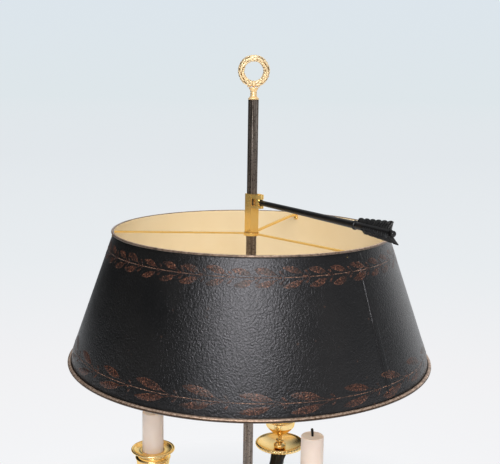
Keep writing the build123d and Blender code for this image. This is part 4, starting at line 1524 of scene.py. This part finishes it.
@dataclass
class Arrow:
    """The lever in the shape of an arrow: cam, shaft and three feather vanes."""

    droop: float = 2.0
    bare_reach: float = 3.9
    boss_reach: float = 4.6
    tenon_length: float = 2.2
    root_radius: float = 2.75
    tail_radius: float = 3.55
    bead_radius: float = 4.4
    start: float = 144.5
    length: float = 42.0
    bead_length: float = 3.5
    vane_turns: tuple[float, ...] = (-18.0, 102.0, 213.0)
    front_heights: tuple[float, ...] = (7.6, 7.0, 8.6)
    tail_heights: tuple[float, ...] = (11.4, 11.6, 13.2)
    late_starts: tuple[float, ...] = (0.0, 10.0, 5.0)
    lobes: int = 6
    notch: float = 1.3
    vane_half: float = 2.0
    ribs: int = 13
    rib_slant: float = 0.1
    rib_hollow: float = 0.75
    rod_end: float = 20.0
    sweep: float = 4.6
    nock_neck: float = 2.2
    nock_radius: float = 3.0
    nock_swell: float = 3.0
    nock_end: float = 1.8
    nock_length: float = 4.8

    def build(self, frame: dict) -> None:
        """Makes the arrow's pieces.

        Args:
            frame: The loaded frame.
        """
        joints = {joint["name"]: joint for joint in frame["record"]["behaviour"]["joints"]}
        self.pivot = Vector(joints["arrow_swing"]["pos_m"]) / MM
        cam = softened(frame["nodes"]["lever_cam"], 0.25)
        for face in cam.faces:
            # The eye and the nose are rubbed to bare brass in the fork, and the boss is black.
            face.material_index = int(self.pivot.y - face.calc_center_median().y > self.bare_reach)
        piece("cam_black", cam, (BRASS, BLACK), Body.ARROW, Slot.BLACK, ["lever_cam"], FACETED)
        self.shaft()
        self.fletching()

    def laid(self, bm: BMesh) -> BMesh:
        """Lays a mesh that stands on +Z from the pin along the arrow, its +Y side up."""
        turn = Matrix.Rotation(math.radians(90 + self.droop), 4, "X")
        return move(bm, Matrix.Translation(self.pivot) @ turn)

    def shaft(self) -> None:
        """The tapering shaft, with its tenons."""
        bead = self.start - self.bead_length
        outline = (
            (0, self.boss_reach - self.tenon_length), (1.8, self.boss_reach - self.tenon_length),
            (1.8, self.boss_reach), (self.root_radius, self.boss_reach), (self.tail_radius, bead),
            (1.8, bead), (1.8, bead + self.rod_end), (0, bead + self.rod_end),
        )
        piece("arrow_rod", self.laid(lathe(outline, 48)), BLACK, Body.ARROW, Slot.BLACK, ["arrow_shaft"])

    def fletching(self) -> None:
        """The tail: bead, core, three ribbed vanes with lobed edges, and the nock."""
        bead = self.start - self.bead_length
        end = self.start + self.length
        outline = (
            (0, bead), (self.tail_radius, bead), (self.bead_radius, bead + 1.2, -0.3),
            (self.bead_radius, bead + 2.3, -0.2), (self.tail_radius, self.start, -0.3),
            (self.tail_radius, end), (self.nock_neck, end), (self.nock_radius, end + self.nock_swell, -0.15),
            (self.nock_end, end + self.nock_length, -0.3), (0, end + self.nock_length),
        )
        bm = lathe(outline, 40)
        for k, turn in enumerate(self.vane_turns):
            self.vane(bm, about_z(math.radians(turn)), k)
        piece("fletching_black", self.laid(closed_up(bm)), BLACK, Body.ARROW, Slot.BLACK, ["arrow_fletching"])

    def vane(self, bm: BMesh, turn: Matrix, k: int) -> None:
        """Adds one vane: thick at its root, ribbed across, with a row of round lobes along its edge.

        Args:
            bm: The mesh to add to.
            turn: The vane's turn about the arrow.
            k: Its number. The upper one, 0, is worn down and cut off square.
        """
        front, tail, late = self.front_heights[k], self.tail_heights[k], self.late_starts[k]
        sweep = self.sweep * (k > 0)

        def shape(along: float, across: float, side: int) -> Vector:
            """Places a point of the vane."""
            lobe = along * self.lobes % 1.0
            height = front + (tail - front) * along
            height -= self.notch * (1 - math.sin(math.pi * lobe) ** 0.5)
            out = 1.0 + (height - 1.0) * across
            wave = abs(math.sin((along - self.rib_slant * across) * self.ribs * math.pi)) ** 0.8
            rib = 1 - self.rib_hollow + self.rib_hollow * wave
            thick = self.vane_half * rib * (1 - 0.25 * across) * max(0.0, 1 - across**8) ** 0.5
            thick *= min(1.0, 14 * min(along, 1 - along)) ** 0.5
            # The vane's plane holds the arrow's axis. Up is +Y before the arrow is laid down.
            back = self.start + late * (1 - along) + along * (self.length + sweep * across)
            return turn @ Vector((thick * side, out, back))

        lens(bm, 144, 8, shape)


# ------------------------------------------------------------------ finial


@dataclass
class Finial:
    """The laurel wreath on its turned foot."""

    foot_radius: float = 5.35
    neck_radius: float = 3.5
    disc_radius: float = 4.7
    outer_radius: float = 16.75
    core_radius: float = 2.2
    middle_radius: float = 13.15
    face_turn: float = -34.0
    stations: int = 14
    leaves_round: int = 5
    leaf_length: float = 5.4
    leaf_width: float = 3.3
    leaf_thickness: float = 1.0
    tip_rise: float = 1.5
    leaf_lean: float = 20.0
    core_facets: int = 12
    core_segments: int = 72
    ribbon_place: Point = (3.6, 1.6)
    ribbon_size: tuple[float, ...] = (3.4, 1.3, 1.6, 1)
    ribbon_lean: float = -28.0

    def build(self) -> None:
        """Makes the foot and the wreath."""
        self.foot()
        self.wreath()

    def foot(self) -> None:
        """The turned foot: a step, a hollow neck and a small disc."""
        low = high_of("stem")
        high = high_of("finial_foot")
        outline = (
            (0, low - 8.0), (2.0, low - 8.0), (2.0, low), (self.foot_radius - 0.2, low),
            (self.foot_radius - 0.2, low + 1.6, -0.6), (self.neck_radius, low + 6.2, 0.35),
            (self.disc_radius - 0.4, high - 1.9, 0.25), (self.disc_radius - 0.4, high, -0.6), (0, high),
        )
        piece("finial_foot_turned", lathe(outline, 64), MATT_GILT, Body.STAND, Slot.GILT, ["finial_foot"])

    def wreath(self) -> None:
        """The wreath: two branches of laurel that rise from a crossed ribbon and meet at the top."""
        hand = random.Random(5)
        foot_top = high_of("finial_foot")
        bm = torus(self.middle_radius, 0, self.core_radius, 1, self.core_facets, self.core_segments)
        # The core, seen only between the leaves, takes the darker gilt as painted shade.
        for face in bm.faces:
            face.material_index = 1
        for station in range(self.stations):
            for branch in (1, -1):
                along = (station + 0.5) / self.stations * math.pi
                self.spray(bm, branch, along, hand)
        self.ribbon(bm)
        upright = Matrix.Rotation(math.pi / 2, 4, "X")
        place = Matrix.Translation((0, 0, foot_top + self.outer_radius))
        move(bm, about_z(math.radians(self.face_turn)) @ place @ upright)
        piece("laurel_wreath", bm, (CHASED, SHADED_GILT), Body.STAND, Slot.GILT, ["finial_wreath"])

    def spray(self, bm: BMesh, branch: int, along: float, hand: random.Random) -> None:
        """Adds the leaves that spring from one place of a branch.

        Args:
            bm: The mesh to add to. The wreath lies flat in it, with its foot at -Y.
            branch: 1 for the right branch, -1 for the left.
            along: The angle from the foot, in radians.
            hand: The chaser's unevenness.
        """
        start = -math.pi / 2 + branch * along
        stagger = 0.5 * (round(along * 100) % 2)
        for k in range(self.leaves_round):
            section = TURN * (k + stagger) / self.leaves_round + hand.uniform(-0.2, 0.2)
            lean = math.radians(self.leaf_lean + hand.uniform(-6, 8))
            for vert in bmesh.ops.create_icosphere(bm, subdivisions=2, radius=1.0)["verts"]:
                x, y, z = vert.co
                ahead = (y / 2 + 0.3) * self.leaf_length
                aside = x * (1 - 0.75 * abs(y) ** 2.2) * self.leaf_width / 2
                ahead, aside = (
                    ahead * math.cos(lean) - aside * math.sin(lean),
                    ahead * math.sin(lean) + aside * math.cos(lean),
                )
                # The blade stands off the core towards its tip, and its midrib is raised.
                out = self.core_radius - 0.3 + self.tip_rise * ((y + 1) / 2) ** 0.9 + 0.2 * (1 - abs(x))
                out += z * self.leaf_thickness / 2 * (1 - 0.3 * abs(x))
                place = section + aside / out
                turn = start + branch * ahead / self.middle_radius
                vert.co = around(self.middle_radius + out * math.cos(place), turn, out * math.sin(place))

    def ribbon(self, bm: BMesh) -> None:
        """Adds the ribbon at the foot: a wrap round the branches and two tips that cross below.

        Args:
            bm: The mesh to add to.
        """
        for branch in (1, -1):
            aside, below = self.ribbon_place
            place = Matrix.Translation((branch * aside, -self.middle_radius - below, 0))
            turn = about_z(branch * math.radians(self.ribbon_lean)) @ Matrix.Diagonal(self.ribbon_size)
            bmesh.ops.create_icosphere(bm, subdivisions=2, radius=1.0, matrix=place @ turn)
        size = Matrix.Diagonal((2.0, self.core_radius + 1.5, self.core_radius + 0.9, 1))
        place = Matrix.Translation((0, -self.middle_radius, 0))
        bmesh.ops.create_icosphere(bm, subdivisions=3, radius=1.0, matrix=place @ size)


# ------------------------------------------------------------------ studio


@dataclass
class Studio:
    """The floor, the lights, the background and the camera."""

    lens: float = 59.255
    distance: float = 868.77
    above_rim: float = 141.67
    pitch: float = 0.165575
    yaw: float = -0.0017
    roll: float = 0.0155
    azimuth: float = -38.0
    floor_size: float = 400.0
    near_floor: float = 0.4
    far_floor: float = 100.0
    soft_light: float = 0.62
    sky_end: float = 0.12
    ceiling: Point = (0.62, 0.85)
    shadow: Point = (0.2, 0.5)
    dark_floor: Point = (1.2, 2.6)
    aim: float = 0.38
    # The ramps' stops: the first, the last, and then those between.
    walls: tuple[Stop, ...] = (
        (0.0, "DADFE3"), (1.0, "DADFE3"), (0.04, "B4B9BE"), (0.08, "3A3D40"), (0.13, "1C1D1E"),
        (0.55, "2B2B2C"), (0.64, "9A9A9A"), (0.72, "7A7B7C"), (0.79, "505254"), (0.83, "C0C4C8"),
        (0.86, "FFFFFF"), (0.94, "F4F6F8"),
    )
    mirrored_floor: tuple[Stop, ...] = (
        (0.0, "DADFE3"), (1.0, "DADFE3"), (0.05, "9A9DA0"), (0.1, "2A2C2E"), (0.2, "1C1C1D"), (0.6, "2B2B2C"),
        (0.68, "E6E8EA"), (0.74, "D0D2D4"), (0.79, "3A3C3E"), (0.83, "A0A4A8"), (0.86, "FFFFFF"),
    )
    sweep: tuple[Stop, ...] = (
        (0.0, "F5F6F8"), (1.0, "DEE6EA"), (0.17, "F1F1F3"), (0.31, "E8ECEF"), (0.53, "E2E7EB"),
    )

    def build(self) -> None:
        """Sets up the view and the light."""
        scene = bpy.context.scene
        scene.view_settings.view_transform = "Standard"
        self.camera(scene)
        self.world(scene)
        self.floor()
        self.lights()

    @property
    def camera_side(self) -> float:
        """The angle about the stem, in radians, of the side that the camera stands on."""
        return math.radians(self.azimuth - 90)

    def camera(self, scene: bpy.types.Scene) -> None:
        """Puts the camera in front of the lamp, looking a little down on the shade.

        Args:
            scene: The scene.
        """
        forward = around(math.cos(self.pitch), math.pi / 2 - self.yaw, -math.sin(self.pitch))
        level = Vector((math.cos(self.yaw), -math.sin(self.yaw), 0))
        upright = level.cross(forward)
        right = level * math.cos(self.roll) + upright * math.sin(self.roll)
        up = upright * math.cos(self.roll) - level * math.sin(self.roll)
        turn = Matrix((right, up, -forward)).transposed().to_4x4()
        place = Matrix.Translation(
            (0, -self.distance * MM, (high_of("shade_top_wire") + self.above_rim) * MM)
        )
        data = bpy.data.cameras.new("camera")
        data.lens = self.lens
        data.clip_end = 100
        camera = placed("camera", data)
        camera.matrix_world = about_z(math.radians(self.azimuth)) @ place @ turn
        scene.camera = camera

    def world(self, scene: bpy.types.Scene) -> None:
        """A pale backdrop that turns blue-grey as it rises, with a dark studio on the camera's side.

        The camera sees the backdrop all round. Polished surfaces reflect it only from behind the lamp and
        from its right: the rest of the studio is dark, as a real one is.

        Args:
            scene: The scene.
        """
        world = bpy.data.worlds.new("studio")
        scene.world = world
        tree = cleared(world)
        kit = Kit(tree, add(tree, "TexCoord").outputs["Generated"])
        height = kit.split(kit.where)["Z"]
        sky = kit.ramp(kit.span(height, end=self.sky_end), (0.0, "DEE6EA"), (1.0, "DCE5EC"))
        above = kit.span(height, 0, 1, *self.ceiling)
        lofty = kit.mix(above, self.round_lamp(kit, self.walls), "C8CACC")
        rays = add(tree, "LightPath").outputs
        dressed = kit.mix(rays["Is Glossy Ray"], sky, lofty)
        seen = kit.maths("MAXIMUM", rays["Is Camera Ray"], rays["Is Glossy Ray"])
        clear = kit.maths("MAXIMUM", seen, rays["Is Transmission Ray"])
        glow = add(tree, "Background", {"Color": dressed, "Strength": kit.span(clear, self.soft_light)})
        add(tree, "OutputWorld", {"Surface": glow.outputs[0]})

    def round_lamp(self, kit: Kit, stops: Sequence[Stop]) -> Socket:
        """Colours the studio by the direction from the lamp.

        Args:
            kit: The nodes, with the direction from the lamp as their coordinates.
            stops: The ramp's stops, once round from behind the lamp by its left, the camera and its right.

        Returns:
            The colour.
        """
        # Turned so that +X points from the lamp to the camera and +Y to its right.
        feeds = {"Vector": kit.where, "Rotation": (0.0, 0.0, self.camera_side)}
        turned = add(kit.tree, "VectorRotate", feeds, rotation_type="EULER_XYZ", invert=True)
        aside = kit.split(turned.outputs[0])
        angle = kit.maths("ARCTAN2", aside["Y"], aside["X"])
        return kit.ramp(kit.span(angle, start=-math.pi, end=math.pi), *stops)

    def floor(self) -> None:
        """A pale floor that fades into the background away from the lamp.

        Polished surfaces reflect it white near the lamp, and dark further off on the camera's side and the
        left.
        """
        bm = bmesh.new()
        bmesh.ops.create_grid(bm, x_segments=2, y_segments=2, size=self.floor_size / 2)
        mesh = meshed("floor", bm)
        floor = placed("floor", mesh)
        material = bpy.data.materials.new("studio_floor")
        tree = cleared(material)
        kit = Kit(tree, add(tree, "TexCoord").outputs["Object"])
        away = add(tree, "VectorMath", {0: kit.where}, operation="LENGTH").outputs["Value"]
        tone = kit.ramp(kit.noise(40, 3), (0.3, "EFEFF1"), (0.7, "F3F3F5"))
        shade = add(tree, "BsdfDiffuse", {"Color": tone})
        # The sweep loses light with distance, and so in even steps of its logarithm.
        steps = kit.maths("LOGARITHM", away, 10.0)
        far = kit.span(steps, start=math.log10(self.near_floor), end=math.log10(self.far_floor))
        fade = kit.ramp(far, *self.sweep)
        rays = add(tree, "LightPath").outputs
        dimmed = kit.maths("MULTIPLY", kit.span(away, 0, 1, *self.dark_floor), rays["Is Glossy Ray"])
        lit = kit.mix(dimmed, fade, self.round_lamp(kit, self.mirrored_floor))
        glow = add(tree, "Emission", {"Color": lit, "Strength": 1.0})
        clear = kit.maths("MAXIMUM", rays["Is Camera Ray"], rays["Is Glossy Ray"])
        share = kit.maths("MULTIPLY", kit.span(away, 0, 1, *self.shadow), clear)
        mixed = add(tree, "MixShader", {0: share, 1: shade.outputs[0], 2: glow.outputs[0]})
        add(tree, "OutputMaterial", {"Surface": mixed.outputs[0]})
        mesh.materials.append(material)

    def lights(self) -> None:
        """A soft box above the camera, and broad light from the right and from above.

        Polished surfaces reflect the soft box. The broad light only brightens matt ones.
        """
        # Name, turn from the camera to its right and rise in degrees, reach, width, height, power, reflected.
        boxes = (
            ("soft_box_camera", -4.0, 26.0, 1.7, 1.0, 0.75, 22.0, True),
            ("broad_light_right", 36.0, 32.0, 1.8, 1.3, 1.2, 11.0, False),
            ("broad_light_top", -60.0, 68.0, 1.7, 1.3, 1.3, 11.0, False),
        )
        target = Vector((0, 0, self.aim))
        for name, aside, rise, reach, wide, high, power, reflected in boxes:
            data = bpy.data.lights.new(name, "AREA")
            data.shape = "RECTANGLE"
            data.size, data.size_y, data.energy = wide, high, power
            light = placed(name, data)
            light.visible_glossy = reflected
            turn, up = self.camera_side + math.radians(aside), math.radians(rise)
            way = around(math.cos(up), turn, math.sin(up))
            light.location = target + way * reach
            light.rotation_euler = way.to_track_quat("Z", "Y").to_euler()


def main() -> None:
    """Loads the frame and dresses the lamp."""
    logging.basicConfig(level=logging.INFO, format="%(name)s: %(message)s")
    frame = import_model()
    Studio().build()
    Base().build(frame["nodes"])
    Column().build(frame["nodes"])
    Arms().build()
    CandleFittings().build()
    Candles().build()
    Shade().build()
    Carriage().build(frame["nodes"])
    Arrow().build(frame)
    Finial().build()


if __name__ == "__main__":
    main()
